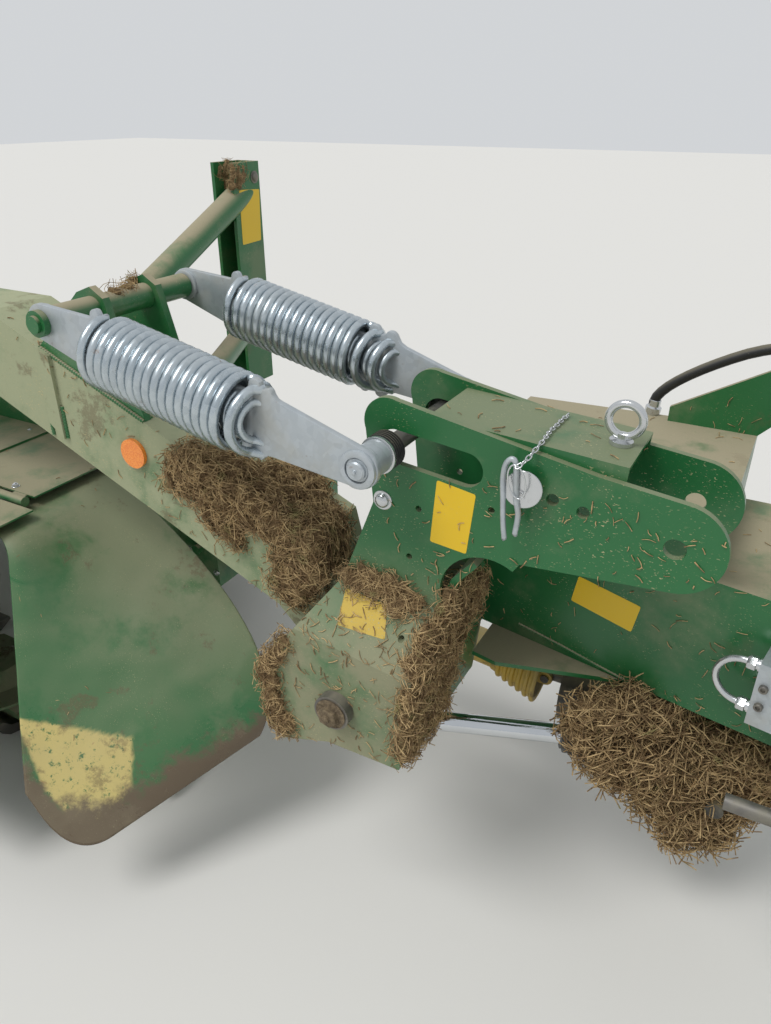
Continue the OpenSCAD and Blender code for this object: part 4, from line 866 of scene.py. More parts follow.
# %% A tree that sets heads on points
head_tree, head_in = new_tree("set_heads", [("Head", "NodeSocketObject"), ("Finish", "NodeSocketMaterial")])
facing = add(head_tree, "GeometryNodeInputNamedAttribute", {"data_type": "FLOAT_VECTOR"}, {"Name": "facing"})
size = add(head_tree, "GeometryNodeInputNamedAttribute", {"data_type": "FLOAT"}, {"Name": "size"})
turn = add(head_tree, "FunctionNodeAlignRotationToVector", {"axis": "Z"}, {"Vector": facing.outputs[0]})
head = add(head_tree, "GeometryNodeObjectInfo", None, {"Object": head_in["Head"]})
heads = add(head_tree, "GeometryNodeInstanceOnPoints", None,
            {"Points": head_in["Geometry"], "Instance": head.outputs["Geometry"], "Rotation": turn.outputs[0],
             "Scale": size.outputs[0]})
real = add(head_tree, "GeometryNodeRealizeInstances", None, {0: heads.outputs[0]})
coated = add(head_tree, "GeometryNodeSetMaterial", None, {0: real.outputs[0], "Material": head_in["Finish"]})
add(head_tree, "NodeGroupOutput", None, {0: coated.outputs[0]})

ORIGIN, UP = Vector((0, 0, 0)), (0, 0, 1)
HEX_BOLT = joined([turned([(0, 0.5), (0, 1.15), (0.16, 1.15), (0.2, 1.1), (0.2, 0.5)], ORIGIN, UP, 24),
                   turned([(0.2, 0.86), (0.24, 0.9), (0.74, 0.9), (0.82, 0.78)], ORIGIN, UP, 6),
                   turned([(0.8, 0.42), (1.05, 0.42), (1.12, 0.36)], ORIGIN, UP, 16)])
DOME_BOLT = joined([turned([(0, 0.5), (0, 1.3), (0.14, 1.3), (0.18, 1.24), (0.18, 0.5)], ORIGIN, UP, 28),
                    turned([(0.18, 0.96), (0.38, 0.94), (0.6, 0.8), (0.75, 0.58), (0.84, 0.3), (0.86, 0.05)],
                           ORIGIN, UP, 28)])
RIVET = joined([turned([(0, 1.0), (0.15, 0.96), (0.35, 0.75), (0.48, 0.4), (0.5, 0.05)], ORIGIN, UP, 16)])


def heads_at(name, shape, rows, body, finish):
    """Heads at rows of (place, facing, radius in mm)."""
    template_mesh = bpy.data.meshes.new(name + "_head")
    template_mesh.from_pydata([corner * 1000 for corner in shape[0]], [], shape[1])
    template = bpy.data.objects.new(name + "_head", template_mesh)
    mesh = bpy.data.meshes.new(name)
    mesh.from_pydata([row[0] for row in rows], [], [])
    ways = [value for row in rows for value in Vector(row[1]).normalized()]
    mesh.attributes.new("facing", "FLOAT_VECTOR", "POINT").data.foreach_set("vector", ways)
    mesh.attributes.new("size", "FLOAT", "POINT").data.foreach_set("value", [row[2] / 1000 for row in rows])
    made = grow(name, head_tree, mesh, {"Head": template, "Finish": finish}, body)
    bpy.data.objects.remove(template)
    made.data.polygons.foreach_set("use_smooth", [True] * len(made.data.polygons))
    return crisp(made, 32)


SKIRT_RIVETS = [(152, 715), (128, 742), (34, 724), (48, 560), (143, 720)]
rows = [(*seen(u, v, "guard_corner"), 6) for u, v in SKIRT_RIVETS]
heads_at("skirt_rivets", RIVET, rows, "mower", steel_bare)
PLATE_FRONT = -85
rows = [(at(51, side * -PLATE_FRONT, 985), (0, side, 0), 13) for side, label in SIDES]
heads_at("plate_dome_bolt", DOME_BOLT, rows, "swing_beam", zinc_plated)
PIVOT_HEAD = [(0, 12), (0, 29), (3, 30), (3.5, 24), (4, 20), (15, 20), (17, 17), (17.5, 8), (22, 8), (23, 6)]
PIVOT_Y, PIVOT_Z = 185, 590
for side, label in SIDES:
    face, outward = at(0, side * PIVOT_Y, PIVOT_Z), (0, side, 0)
    washer = turned(PIVOT_HEAD[:4], face, outward, 32)
    nut = turned(PIVOT_HEAD[3:8], face, outward, 6)
    bolt_end = turned(PIVOT_HEAD[7:], face, outward, 16)
    turned_piece(f"pivot_nut_{label}", [washer, nut, bolt_end], "swing_beam", caked_mud)
print("heads set")

# %% [markdown]
# Blank stickers are thin film: a rectangle half a millimetre proud with softened corners. The ones on the
# flat plate and on the beam are new and bright; the one on the fold lies under hay and has lost its colour.

# %% Stickers
CORNER_R = 0.004


def film(name, places, body, finish, proud=0.0005):
    """A film with its corners at four places, given round its edge; its corners are rounded."""
    a, b, c, d = [Vector(place) for place in places]
    up = (b - a).cross(d - a).normalized()
    if up.dot(camera.location - a) < 0:
        up = -up
    outline = []
    for here, before, after in ((a, d, b), (b, a, c), (c, b, d), (d, c, a)):
        for k in range(5):
            back = (before - here).normalized() * CORNER_R
            on = (after - here).normalized() * CORNER_R
            t = k / 4
            outline.append(here + back * (1 - t) ** 2 + on * t * t)
    low, high = [spot + up * 0.0001 for spot in outline], [spot + up * proud for spot in outline]
    n = len(outline)
    faces = [tuple(range(n, 2 * n)), tuple(reversed(range(n)))]
    faces += [(k, (k + 1) % n, n + (k + 1) % n, n + k) for k in range(n)]
    shape = bmesh.new()
    verts = [shape.verts.new(spot) for spot in low + high]
    for face in faces:
        shape.faces.new([verts[k] for k in face])
    bmesh.ops.recalc_face_normals(shape, faces=shape.faces)
    mesh = bpy.data.meshes.new(name)
    shape.to_mesh(mesh)
    shape.free()
    mesh.materials.append(finish)
    return settle(bpy.data.objects.new(name, mesh), body)


STICKERS = {
    "sticker_plate": ("hinge_plate_front", "swing_beam", sticker_film,
                      [(437, 480), (476, 495), (466, 554), (430, 541)]),
    "sticker_fold": ("hinge_plate_front", "swing_beam", worn_film,
                     [(346, 588), (387, 605), (385, 640), (337, 625)]),
    "sticker_beam": ("main_beam", "swing_beam", sticker_film,
                     [(579, 576), (641, 607), (631, 632), (571, 600)]),
    "sticker_post": ("rear_post", "boom", sticker_film,
                     [(239, 190), (259, 189), (261, 240), (243, 245)]),
}
for label, (carrier, body, finish, corners_seen) in STICKERS.items():
    film(label, [seen(u, v, carrier)[0] for u, v in corners_seen], body, finish)
print("stickers laid")

# %% [markdown]
# The adjusting pin is held by a washer, a ring and a bent clip of 8 mm wire. They hang in front of the
# hinge plate, so a ray from the camera is met with an upright plane at their distance.

# %% Washer, clip and ring
DISC = [(0, 14), (0, 27), (1.5, 28), (4, 28), (5, 27), (5, 14)]
washer = turned(DISC, at(287, PLATE_FRONT - 16, 1068), (0.12, -1, 0.1), 40)
turned_piece("pin_washer", [washer], "swing_beam", zinc_plated)
clip_plane = PLATE_FRONT - 26
CLIP_WIRE_R, RING_WIRE_R = 0.0042, 0.0013


def on_plane(u, v, y):
    """The point behind a picture point on an upright plane along the machine."""
    ray = ray_through(u, v)
    return camera.location + ray * ((at(0, y, 0).y - camera.location.y) / ray.y)


CLIP = [(504, 537), (503, 520), (503, 498), (503, 478), (506, 464), (512, 459), (516, 464), (516, 480),
        (516, 500), (518, 515), (515, 533)]
clip_line = [on_plane(u, v, clip_plane) for u, v in CLIP]
wires("clip", "swing_beam", zinc_plate, [(clip_line, CLIP_WIRE_R)], sides=12, steps=5)
RING_MIDDLE, RING_WIDE, RING_HIGH, RING_LEAN = (516.5, 482), 8.6, 17, 2.5
ring_line = []
for k in range(24):
    angle = math.pi * k / 12
    u = RING_MIDDLE[0] + RING_WIDE * math.cos(angle) + RING_LEAN * math.sin(angle)
    ring_line.append(on_plane(u, RING_MIDDLE[1] + RING_HIGH * math.sin(angle), clip_plane - 7))
wires("clip_ring", "swing_beam", zinc_plated, [(ring_line, RING_WIRE_R)], sides=8, steps=2, closed=True)
print("the clip is", round((clip_line[0] - clip_line[5]).length * 1000), "mm long")

# %% [markdown]
# A fine chain of twisted links keeps the pin from getting lost. A tree walks along the chain's path in
# steps of one link's pitch, sets a link at each step, and turns every other one by a quarter.

# %% Chain
CHAIN_FREE = [(519, 466, -6), (524.5, 462, 0), (531, 455, 12)]
CHAIN_SEEN = [(543, 443), (550, 433.5), (557, 427), (563, 421), (567, 418)]
LINK_PITCH, LINK_WIRE_R, LINK_WIDE, LINK_LONG = 0.0088, 0.0011, 3.0, 6.0
chain_path = [on_plane(u, v, clip_plane + nearer) for u, v, nearer in CHAIN_FREE]
for u, v in CHAIN_SEEN:
    spot, facing = seen(u, v, "hinge_plate_front", "spacer_channel")
    chain_path.append(spot + facing * 0.004)
chain_tree, chain_in = new_tree("chain", [("Link", "NodeSocketObject"), ("Pitch", "NodeSocketFloat"),
                                          ("Finish", "NodeSocketMaterial")])
path = add(chain_tree, "GeometryNodeMeshToCurve", None, {0: chain_in["Geometry"]})
bent = add(chain_tree, "GeometryNodeCurveSplineType", {"spline_type": "CATMULL_ROM"}, {0: path.outputs[0]})
points = add(chain_tree, "GeometryNodeCurveToPoints", {"mode": "LENGTH"},
             {0: bent.outputs[0], "Length": chain_in["Pitch"]})
number = add(chain_tree, "GeometryNodeInputIndex")
odd = add(chain_tree, MATH, {"operation": "MODULO"}, {0: number.outputs[0], 1: 2.0})
quarter = add(chain_tree, MATH, {"operation": "MULTIPLY_ADD"}, {0: odd.outputs[0], 1: math.pi / 2, 2: 0.5})
spin = add(chain_tree, "FunctionNodeAxisAngleToRotation", None,
           {"Axis": (0, 0, 1), "Angle": quarter.outputs[0]})
both = add(chain_tree, "FunctionNodeRotateRotation", {"rotation_space": "LOCAL"},
           {"Rotation": points.outputs["Rotation"], "Rotate By": spin.outputs[0]})
link = add(chain_tree, "GeometryNodeObjectInfo", None, {"Object": chain_in["Link"]})
links = add(chain_tree, "GeometryNodeInstanceOnPoints", None,
            {"Points": points.outputs["Points"], "Instance": link.outputs["Geometry"],
             "Rotation": both.outputs[0]})
finish_tree(chain_tree, links.outputs[0], chain_in["Finish"])

angles = [2 * math.pi * k / 14 for k in range(14)]
link_line = [Vector((LINK_WIDE * math.sin(a), 0, LINK_LONG * math.cos(a))) / 1000 for a in angles]
link_piece = wires("chain_link", "swing_beam", zinc_plated, [(link_line, LINK_WIRE_R)], sides=6, closed=True)
path_mesh = bpy.data.meshes.new("chain")
path_mesh.from_pydata(chain_path, [(k, k + 1) for k in range(len(chain_path) - 1)], [])
chain = grow("pin_chain", chain_tree, path_mesh,
             {"Link": link_piece, "Pitch": LINK_PITCH, "Finish": zinc_plated}, "swing_beam")
bpy.data.objects.remove(link_piece)
print("chain:", len(chain.data.polygons), "faces")

# %% [markdown]
# Two short hydraulic hoses run between fittings on the beam. A hose keeps its length, so its route is the
# same as in the frame: straight out of one ferrule, over in an easy bend, and down into the next.

# %% Hoses
TOP_HOSE = [(330, 622, 956), (334, 622, 990), (370, 622, 1030), (440, 621, 1078), (520, 618, 1118),
            (600, 600, 1136), (680, 560, 1110), (738, 505, 1040), (752, 462, 950), (752, 440, 890),
            (752, 430, 866)]
SIDE_HOSE = [(690, 80, 790), (692, 74, 830), (704, 80, 880), (722, 104, 920), (740, 150, 944),
             (756, 200, 930), (764, 240, 895), (764, 250, 866)]
TOP_LENGTH, SIDE_LENGTH, HOSE_R = 0.736, 0.336, 0.011
FERRULE = [(-14, 15), (-2, 15), (-1, 17), (10, 17), (12, 14), (13, 12.5), (26, 12.2), (27, 11)]


def spread(points, steps):
    """More points on the smooth curve through these points."""
    out = []
    for k in range(len(points) - 1):
        p = [Vector(points[min(max(k + m, 0), len(points) - 1)]) for m in (-1, 0, 1, 2)]
        for j in range(steps):
            t = j / steps
            out.append(0.5 * (2 * p[1] + (p[2] - p[0]) * t + (2 * p[0] - 5 * p[1] + 4 * p[2] - p[3]) * t * t
                              + (3 * p[1] - 3 * p[2] + p[3] - p[0]) * t ** 3))
    return out + [Vector(points[-1])]


for name, route, length in (("hose_top", TOP_HOSE, TOP_LENGTH), ("hose_side", SIDE_HOSE, SIDE_LENGTH)):
    line = [at(*spot) for spot in spread(route, 3)]
    hose = wires(name, "swing_beam", rubber, [(line, HOSE_R)], sides=16, tip=False,
                 replaces=["hydraulic_hoses"])
    ferrules = [turned(FERRULE, at(*here), Vector(there) - Vector(here), 28)
                for here, there in ((route[0], route[1]), (route[-1], route[-2]))]
    ends = turned_piece(name + "_ferrules", ferrules, "swing_beam", zinc_plated, replaces=["hydraulic_hoses"])
print("hoses made")

# %% [markdown]
# Wet hay catches on every ledge of a mower and felts into mats. A mat is built where the picture shows
# one: a grid of points inside its outline is thrown onto the steel that carries it, a flattened lump
# grows on each point, and one voxel remesh turns the lumps into a single skin, which noise then roughens.
# The noise that shifts the points starts from a fixed seed, so that the hay is the same on every run.

# %% Mats of hay
HAY_SEED = 1795781399
noise.seed_set(HAY_SEED)


def inside(point, outline):
    hit = False
    for (ax, ay), (bx, by) in zip(outline, outline[1:] + outline[:1]):
        if (ay > point[1]) != (by > point[1]) and point[0] < (bx - ax) * (point[1] - ay) / (by - ay) + ax:
            hit = not hit
    return hit


def span(outline):
    """The lowest and the highest of an outline's picture coordinates."""
    return [[pick(point[k] for point in outline) for k in (0, 1)] for pick in (min, max)]


def carried(u, v, names, hang):
    """The steel behind a picture point, or for hanging hay a point level with the steel's own middle."""
    found = nearest(u, v, names)
    if found or hang is None:
        return found
    ray = ray_through(u, v)
    way = Vector((look.x, look.y, 0)).normalized()
    return camera.location + ray * ((hang - camera.location).dot(way) / ray.dot(way)), -way


def mat(name, body, names, outline, step, radius, height, voxel, hang=None):
    """Lumps every step pixels inside the outline; radius and height are theirs, in metres."""
    shape = bmesh.new()
    lows, highs = span(outline)
    v, number = lows[1], 0
    while v <= highs[1]:
        u = lows[0]
        while u <= highs[0]:
            shift = noise.noise_vector(Vector((u, v, 3)) * 0.37) * step * 0.5
            spot = (u + shift.x, v + shift.y)
            found = carried(*spot, names, hang) if inside(spot, outline) else None
            if found:
                place, facing = found
                size = radius * (0.75 + 0.6 * abs(shift.z) / step * 2)
                turn = facing.to_track_quat("Z", "Y").to_matrix().to_4x4()
                grown = bmesh.ops.create_icosphere(shape, subdivisions=2, radius=1)
                thick = height * (0.8 + noise.noise(place * 23) * 0.7)
                stretch = Matrix.Diagonal((size, size, thick, 1))
                bmesh.ops.transform(shape, matrix=Matrix.Translation(place) @ turn @ stretch,
                                    verts=grown["verts"])
                number += 1
            u += step
        v += step
    mesh = bpy.data.meshes.new(name)
    shape.to_mesh(mesh)
    shape.free()
    mesh.materials.append(hay_felt)
    thing = bpy.data.objects.new(name, mesh)
    bpy.context.scene.collection.objects.link(thing)
    skin = thing.modifiers.new("skin", "REMESH")
    skin.mode, skin.voxel_size, skin.use_smooth_shade = "VOXEL", voxel, True
    applied(thing)
    for vertex in thing.data.vertices:
        rough = noise.fractal(vertex.co * 55, 0.8, 2.0, 4) * height * 0.45
        vertex.co += vertex.normal * rough
    thing.data.polygons.foreach_set("use_smooth", [True] * len(thing.data.polygons))
    return settle(thing, body), number


# %% [markdown]
# Over the felted mats lie loose stems, which follow the mat's surface. A tree scatters them with a fixed
# seed: points on the faces, three bent stems to pick from, each turned at random about the face's normal
# and tilted a little, so that some ends stand off. A stem is drawn one metre long and then scaled to its
# length, so its thickness is a share of that. The export needs real triangles, so a stem has only a few.

# %% A tree that scatters stems
numbers = [(label, "NodeSocketFloat") for label in ("Density", "Length", "Thickness", "Tilt")]
stem_tree, stem_in = new_tree("scatter_stems", numbers + [("Seed", "NodeSocketInt"),
                                                          ("Finish", "NodeSocketMaterial")])
spots = add(stem_tree, "GeometryNodeDistributePointsOnFaces", None,
            {"Mesh": stem_in["Geometry"], "Density": stem_in["Density"], "Seed": stem_in["Seed"]})
section = add(stem_tree, "GeometryNodeCurvePrimitiveCircle", None,
              {"Resolution": 3, "Radius": stem_in["Thickness"]})
bunch = add(stem_tree, "GeometryNodeJoinGeometry")
for bow in ((0.0, 0.06, 0.14), (0.15, 0.3, 0.28), (-0.1, -0.45, 0.2)):
    stem = add(stem_tree, "GeometryNodeCurveQuadraticBezier", None,
               {"Resolution": 4, "Start": (-0.5, 0, 0), "Middle": bow, "End": (0.5, 0, 0.02)})
    solid = add(stem_tree, "GeometryNodeCurveToMesh", None,
                {"Curve": stem.outputs[0], "Profile Curve": section.outputs[0], "Fill Caps": True})
    one = add(stem_tree, "GeometryNodeGeometryToInstance", None, {0: solid.outputs[0]})
    stem_tree.links.new(one.outputs[0], bunch.inputs[0])
scaled = {"operation": "SCALE"}
tilt = add(stem_tree, "ShaderNodeVectorMath", scaled, {0: (1, 1, 0), "Scale": stem_in["Tilt"]})
most = add(stem_tree, "ShaderNodeVectorMath", PLUS, {0: tilt.outputs[0], 1: (0, 0, 2 * math.pi)})
least = add(stem_tree, "ShaderNodeVectorMath", scaled, {0: tilt.outputs[0], "Scale": -1.0})
way = add(stem_tree, "FunctionNodeRandomValue", {"data_type": "FLOAT_VECTOR"},
          {0: least.outputs[0], 1: most.outputs[0], "Seed": 5})
euler = add(stem_tree, "FunctionNodeEulerToRotation", None, {0: way.outputs[0]})
turned_stem = add(stem_tree, "FunctionNodeRotateRotation", {"rotation_space": "LOCAL"},
                  {0: spots.outputs["Rotation"], 1: euler.outputs[0]})
share = add(stem_tree, "FunctionNodeRandomValue", {"data_type": "FLOAT"}, {2: 0.35, 3: 1.35, "Seed": 11})
length = add(stem_tree, MATH, TIMES, {0: share.outputs[1], 1: stem_in["Length"]})
which = add(stem_tree, "FunctionNodeRandomValue", {"data_type": "INT"}, {4: 0, 5: 2, "Seed": 17})
stems = add(stem_tree, "GeometryNodeInstanceOnPoints", None,
            {"Points": spots.outputs["Points"], "Instance": bunch.outputs[0], "Pick Instance": True,
             "Instance Index": which.outputs[2], "Rotation": turned_stem.outputs[0],
             "Scale": length.outputs[0]})
finish_tree(stem_tree, stems.outputs[0], stem_in["Finish"])

# %% [markdown]
# A row of the table gives a mat's body and the steel that carries it; the spacing of its lumps in pixels;
# a lump's radius and height and the skin's voxel in metres; the stems to a square metre, their length in
# metres, their thickness as a share of it and their tilt in radians; and last the mat's outline in the
# picture. The biggest mat hangs round the lift cylinder, where the stems are coarse.

# %% Where the hay lies
PLATES = ["hinge_plate_front", "clevis_web"]
MATS = {
    "boom": ("boom", ["boom_beam"], 9, 0.017, 0.014, 0.005, 30000, 0.055, 0.013, 0.35,
             [(176, 455), (193, 443), (234, 462), (267, 466), (303, 470), (318, 485), (332, 505), (344, 521),
              (342, 545), (334, 558), (324, 574), (313, 592), (298, 606), (284, 597), (277, 586), (281, 564),
              (277, 540), (263, 525), (248, 524), (247, 538), (233, 540), (219, 525), (202, 507), (195, 491),
              (180, 492), (166, 470)]),
    "fold": ("swing_beam", ["hinge_plate_front"], 7, 0.011, 0.010, 0.004, 36000, 0.04, 0.013, 0.3,
             [(343, 573), (361, 566), (383, 572), (412, 588), (429, 606), (406, 610), (398, 618), (392, 612),
              (384, 599), (366, 594), (351, 583), (341, 580)]),
    "web": ("swing_beam", PLATES, 7, 0.015, 0.012, 0.004, 30000, 0.05, 0.014, 0.3,
            [(446, 596), (455, 586), (471, 574), (484, 569), (505, 566), (484, 592), (472, 608), (459, 634),
             (452, 650), (446, 700), (434, 724), (419, 745), (406, 766), (400, 748), (404, 700), (411, 676),
             (423, 632), (437, 618)]),
    "foot": ("swing_beam", ["hinge_plate_front"], 6, 0.014, 0.012, 0.004, 30000, 0.045, 0.014, 0.35,
             [(282, 618), (258, 634), (250, 653), (248, 676), (257, 700), (262, 728), (267, 743), (279, 750),
              (285, 728), (296, 728), (277, 698), (274, 676), (278, 654), (288, 632)]),
    "post": ("boom", ["rear_post"], 6, 0.011, 0.006, 0.004, 24000, 0.028, 0.014, 0.2,
             [(214, 168), (222, 162), (240, 164), (252, 168), (250, 176), (240, 190), (226, 192),
              (218, 178)]),
    "brace": ("boom", ["rear_post", "spring_lugs"], 6, 0.014, 0.012, 0.004, 24000, 0.035, 0.014, 0.5,
              [(98, 282), (112, 268), (134, 262), (146, 268), (138, 282), (116, 292)]),
}
BARREL_HAY = [(578, 718), (584, 706), (598, 699), (618, 692), (644, 695), (670, 710), (707, 722), (737, 736),
              (771, 750), (800, 768), (796, 788), (768, 788), (750, 796), (730, 828), (714, 838), (697, 842),
              (674, 836), (660, 818), (645, 800), (640, 782), (614, 781), (604, 768), (586, 758), (577, 746)]
for label, row in MATS.items():
    body, names, step, radius, height, voxel, density, length, thickness, lean, outline = row
    felt, number = mat(f"hay_{label}", body, names, outline, step, radius, height, voxel)
    stems = grow(f"hay_{label}_stems", stem_tree, felt.data.copy(),
                 {"Density": density, "Length": length, "Thickness": thickness, "Tilt": lean, "Seed": number,
                  "Finish": hay_stem}, body)
    print(f"hay_{label}: {number} lumps, {len(felt.data.polygons)} and {len(stems.data.polygons)} faces")
barrel_middle = at(560, 190, 441)
felt, number = mat("hay_cylinder", "lift_barrel", ["cylinder_barrel"], BARREL_HAY,
                   step=12, radius=0.020, height=0.030, voxel=0.007, hang=barrel_middle)
stems = grow("hay_cylinder_stems", stem_tree, felt.data.copy(),
             {"Density": 12500.0, "Length": 0.085, "Thickness": 0.013, "Tilt": 0.45, "Seed": 3,
              "Finish": hay_stem}, "lift_barrel")
print("hay on the cylinder:", number, "lumps,", len(stems.data.polygons), "faces of stems")

# %% [markdown]
# Single stems and chaff lie on every face near the mats. Each is a short bent wire laid in the plane of the
# steel under it, at a place drawn at random inside an outline of the picture; the seed is fixed.

# %% Loose stems
def loose(name, body, names, outline, count, length, seed):
    """Stems of about this length in metres; the seed gives the same ones on every run."""
    draw = random.Random(seed)
    lows, highs = span(outline)
    runs = []
    while count:
        spot = (draw.uniform(lows[0], highs[0]), draw.uniform(lows[1], highs[1]))
        size, turn, bow = length * draw.uniform(0.3, 1.2), draw.uniform(0, math.pi), draw.uniform(-0.3, 0.3)
        count -= 1
        found = carried(*spot, names, None) if inside(spot, outline) else None
        if found:
            place, facing = found
            one = facing.orthogonal().normalized()
            other = facing.cross(one)
            along = one * math.cos(turn) + other * math.sin(turn)
            aside = facing.cross(along) * bow
            thick = 0.0007 * draw.uniform(0.7, 1.4)
            runs.append(([place - along * size / 2 + facing * thick,
                          place + aside * size / 2 + facing * (thick + 0.0012),
                          place + along * size / 2 + facing * (thick + 0.0004)], thick))
    wires(name, body, hay_stem, runs, sides=4, steps=3, tip=False)
    print(name, len(runs), "stems")


LOOSE = [
    ("stems_on_plate", "swing_beam", ["hinge_plate_front"],
     [(380, 470), (500, 480), (740, 540), (700, 600), (400, 600)], 170, 0.016),
    ("stems_on_boom", "boom", ["boom_beam"],
     [(0, 310), (110, 340), (345, 480), (340, 610), (250, 590), (60, 420)], 420, 0.022),
    ("stems_on_foot", "swing_beam", ["hinge_plate_front"],
     [(262, 640), (340, 580), (430, 610), (400, 770), (290, 740)], 320, 0.022),
    ("stems_on_beam", "swing_beam", ["main_beam", "spacer_channel"],
     [(440, 395), (771, 400), (771, 740), (500, 640)], 170, 0.018),
    ("stems_on_guard", "mower", ["guard_corner", "top_cover"],
     [(0, 430), (120, 430), (260, 700), (90, 850), (20, 780)], 110, 0.016),
    ("stems_on_web", "swing_beam", ["clevis_web"],
     [(440, 560), (520, 560), (500, 700), (420, 760)], 60, 0.03),
]
for seed, row in enumerate(LOOSE, start=1):
    loose(*row, seed)

# %% [markdown]
# Weld beads join the lugs, straps and flanges. A bead is laid in small steps, so it is a swept wire whose
# thickness rises and falls every three millimetres; half of it lies in the steel.

# %% Weld beads
def bead(path):
    run = []
    for a, b in zip(path, path[1:]):
        steps = max(1, round((b - a).length / 0.003))
        run += [a.lerp(b, k / steps) for k in range(steps)]
    return run + [path[-1]]


def beads(name, body, paths, radius=4.5):
    points, edges, radii = [], [], []
    for path in paths:
        run = bead(path)
        base = len(points)
        points += run
        radii += [radius / 1000 * (1 + 0.16 * (-1) ** k) for k in range(len(run))]
        edges += [(base + k, base + k + 1) for k in range(len(run) - 1)]
    mesh = bpy.data.meshes.new(name)
    mesh.from_pydata(points, edges, [])
    mesh.attributes.new("thick", "FLOAT", "POINT").data.foreach_set("value", radii)
    return grow(name, wire_tree, mesh, {"Sides": 8, "Steps": 2, "Finish": green_beam}, body)


def drop(x, y, name):
    """Straight down onto a piece's top."""
    return surface_of(name).ray_cast(at(x, y, 1450), Vector((0, 0, -1)))[0]


def press(x, z, side, name):
    """Straight in from one side onto a piece."""
    return surface_of(name).ray_cast(at(x, side * 500, z), Vector((0, -side, 0)))[0]


LUG_X, LUG_Y = (-728, -600, -472), (-75, -57, 57, 75)
STRAP_X, STRAP_Z = (-694, -736), (860, 940, 1010)
lug_beads = [[drop(x, y, "boom_beam") for x in LUG_X] for y in LUG_Y]
strap_beads = [[press(x, z, side, "boom_beam") for z in STRAP_Z] for x in STRAP_X for side in (-1, 1)]
found_beads = [[spot for spot in path if spot] for path in lug_beads + strap_beads]
beads("boom_welds", "boom", [path for path in found_beads if len(path) > 1])
FLANGE_SEAM = [(519, 624), (560, 645), (600, 667), (624, 680)]
beads("beam_welds", "swing_beam", [[seen(u, v, "main_beam")[0] for u, v in FLANGE_SEAM]], 3.5)
print("welds laid")

# %% [markdown]
# The valve block on the beam's side feeds a bent steel pipe. Its nuts are hexagonal, each behind a
# thinner ring, and four socket screws hold the block. The block stands askew with the beam's side, so its
# pieces are placed in millimetres from its own corner.

# %% Pipe, nuts and screws
BLOCK_CORNER, side_yaw = (652, 116, 664), math.radians(10.05)
PORTS_Y, PORTS_Z, PIPE_R, BOW_R, BOW_START = -40, (18, 102), 0.006, 42, -21.7


def on_block(x, y, z):
    return at(BLOCK_CORNER[0] + x * math.cos(side_yaw) + y * math.sin(side_yaw),
              BLOCK_CORNER[1] - x * math.sin(side_yaw) + y * math.cos(side_yaw), BLOCK_CORNER[2] + z)


low_port, high_port = [on_block(0, PORTS_Y, z) for z in PORTS_Z]
pipe_line = [low_port]
for k in range(17):
    angle = math.pi * k / 16
    x, z = BOW_START - BOW_R * math.sin(angle), sum(PORTS_Z) / 2 - BOW_R * math.cos(angle)
    pipe_line.append(on_block(x, PORTS_Y, z))
pipe_line.append(high_port)
wires("bent_pipe", "swing_beam", zinc_plated, [(pipe_line, PIPE_R)], sides=16, tip=False,
      replaces=["steel_pipe"])
block_way = on_block(1, 0, 0) - on_block(0, 0, 0)
NUT = [(-22, 7), (-21.5, 10.5), (-19, 12), (-8, 12), (-7, 10.5), (-7, 9)]
COLLAR = [(-7, 8), (-7, 9.5), (-4, 9.5), (-4, 11.5), (0, 11.5)]
nuts = []
for port in (low_port, high_port):
    nuts += [turned(NUT, port, block_way, 6), turned(COLLAR, port, block_way, 24)]
turned_piece("pipe_nuts", nuts, "swing_beam", zinc_plated, replaces=["steel_pipe"])
SOCKET = joined([turned([(0, 1.0), (0.9, 1.0), (1.0, 0.9), (1.0, 0.55), (0.5, 0.5)], ORIGIN, UP, 20)])
outward = on_block(0, -1, 0) - on_block(0, 0, 0)
rows = [(on_block(x, -62, z), outward, 7) for x in (14, 66) for z in (42, 78)]
heads_at("block_screws", SOCKET, rows, "swing_beam", steel_bare)
POST_BOLT = (254, 177)
heads_at("post_bolt", DOME_BOLT, [(*seen(*POST_BOLT, "rear_post"), 11)], "boom", steel_bare)
print("the pipe's ports are", round((high_port - low_port).length * 1000), "mm apart")

# %% [markdown]
# Every cover and gearbox is held by hexagonal bolts with washers. Their places follow the covers' edges,
# so a short loop per piece drops them on its top or presses them onto its side.

# %% Cover bolts
BOLT_R, END_INSET, EDGE_INSET, ALONG_COVER = 8, 0.08, 0.05, 9
box_low, box_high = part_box("top_cover")
rows = []
for k in range(ALONG_COVER):
    x = box_low[0] + END_INSET + (box_high[0] - box_low[0] - 2 * END_INSET) * k / (ALONG_COVER - 1)
    for y in (box_low[1] + EDGE_INSET, box_high[1] - EDGE_INSET):
        place, facing = surface_of("top_cover").ray_cast(Vector((x, y, 2)), Vector((0, 0, -1)))[:2]
        if place:
            rows.append((place, facing, BOLT_R))
heads_at("cover_bolts", HEX_BOLT, rows, "mower", zinc_plated)
print("bolts on the cover:", len(rows))

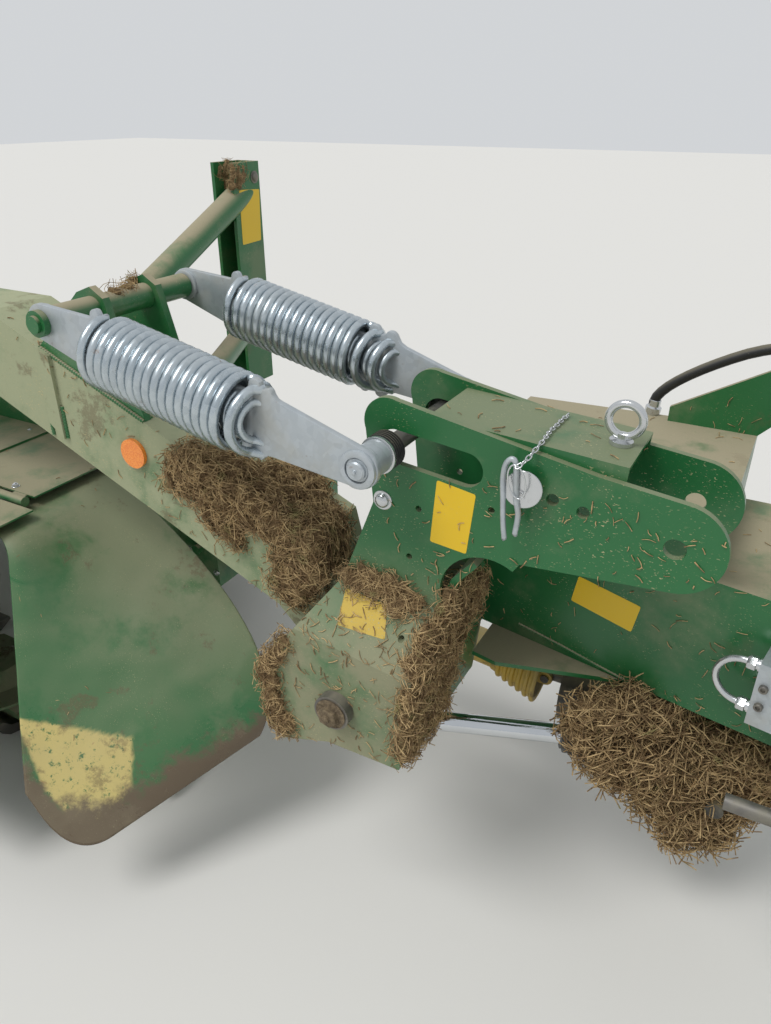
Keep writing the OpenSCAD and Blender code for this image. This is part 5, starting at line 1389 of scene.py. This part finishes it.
# %% Gearbox bolts
CIRCLE_R, ROUND_GEARBOX = 0.06, 6
for name, body in (("mower_gearbox", "mower"), ("input_gearbox", "swing_beam")):
    low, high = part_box(name)
    middle = (Vector(low) + Vector(high)) / 2
    rows = []
    for k in range(ROUND_GEARBOX):
        angle = 2 * math.pi * k / ROUND_GEARBOX
        x, z = middle.x + CIRCLE_R * math.cos(angle), middle.z + CIRCLE_R * math.sin(angle)
        place, facing = surface_of(name).ray_cast(Vector((x, low[1] - 0.1, z)), Vector((0, 1, 0)))[:2]
        if place:
            rows.append((place, facing, BOLT_R))
    if rows:
        heads_at(name + "_bolts", HEX_BOLT, rows, body, zinc_plated)
    print("bolts on", name, len(rows))

# %% [markdown]
# The drive shaft's plastic guards end in ribbed cones, which flex when the shaft swings. The cones come
# with the frame, and each rib is a closed ring of wire round the shaft's axis.

# %% Ribs on the drive guards
JOINT, shaft_lean = (230, 400, 350), math.atan2(90, 870)
RIB_STEP = 19
OUTER_START, OUTER_R, OUTER_TAPER, OUTER_RIB_R = 14, 75, -0.25, 0.006
INNER_END, INNER_CONE_R, INNER_TAPER, INNER_RIB_R = 750, 42.5, 0.28, 0.0055


def round_shaft(along, radius, sides=40):
    """A ring round the drive shaft, at a distance from its joint."""
    ring_points = []
    for k in range(sides):
        angle = 2 * math.pi * k / sides
        aside, up = radius * math.cos(angle), radius * math.sin(angle)
        ring_points.append(at(JOINT[0] - along * math.cos(shaft_lean) + up * math.sin(shaft_lean),
                              JOINT[1] + aside,
                              JOINT[2] + along * math.sin(shaft_lean) + up * math.cos(shaft_lean)))
    return ring_points


outer_ribs = []
for k in range(6):
    radius = OUTER_R + OUTER_TAPER * (4 + RIB_STEP * k)
    outer_ribs.append((round_shaft(OUTER_START + RIB_STEP * k, radius), OUTER_RIB_R))
inner_ribs = []
for k in range(5):
    radius = INNER_CONE_R + INNER_TAPER * (5 + RIB_STEP * k)
    inner_ribs.append((round_shaft(INNER_END + RIB_STEP * k, radius), INNER_RIB_R))
wires("guard_ribs_outer", "drive_outer", guard_plastic, outer_ribs, sides=10, closed=True)
wires("guard_ribs_inner", "drive_inner", guard_plastic, inner_ribs, sides=10, closed=True)
print("ribs:", len(outer_ribs) + len(inner_ribs))

# %% [markdown]
# The machine stands on a plain matt floor, which only catches its shadow. It is stage, not part of the
# machine.

# %% Floor
floor_mesh = bpy.data.meshes.new("floor")
floor_mesh.from_pydata([(-30, -30, 0), (30, -30, 0), (30, 30, 0), (-30, 30, 0)], [], [(0, 1, 2, 3)])
floor = bpy.data.objects.new("floor", floor_mesh)
bpy.context.scene.collection.objects.link(floor)
concrete, tree, shader = new_material("pale_floor")
shader.inputs["Base Color"].default_value = rgb("#d9d7d2")
shader.inputs["Roughness"].default_value = 0.9
floor_mesh.materials.append(concrete)
print("the floor is", round(floor.dimensions.x), "m wide")

# %% [markdown]
# The sky is an even pale grey, as under a thin cloud, and the one lamp has a wide angle, so that shadows
# stay soft. Their strengths are set so that a colour renders about as it is written.

# %% Light
world = bpy.data.worlds.new("sky")
bpy.context.scene.world = world
world.use_nodes = True
sky = world.node_tree.nodes["Background"]
sky.inputs["Color"].default_value = rgb("#eef1f4")
sky.inputs["Strength"].default_value = 0.75
sun = bpy.data.lights.new("soft_sun", "SUN")
sun.energy = 1.7
sun.angle = math.radians(25)
sun_object = bpy.data.objects.new("soft_sun", sun)
sun_object.rotation_euler = Vector((0.35, 0.55, -1.0)).to_track_quat("-Z", "Y").to_euler()
bpy.context.scene.collection.objects.link(sun_object)
bpy.context.scene.view_settings.view_transform = "Standard"
print("sun", sun.energy, "and sky", round(sky.inputs["Strength"].default_value, 2))
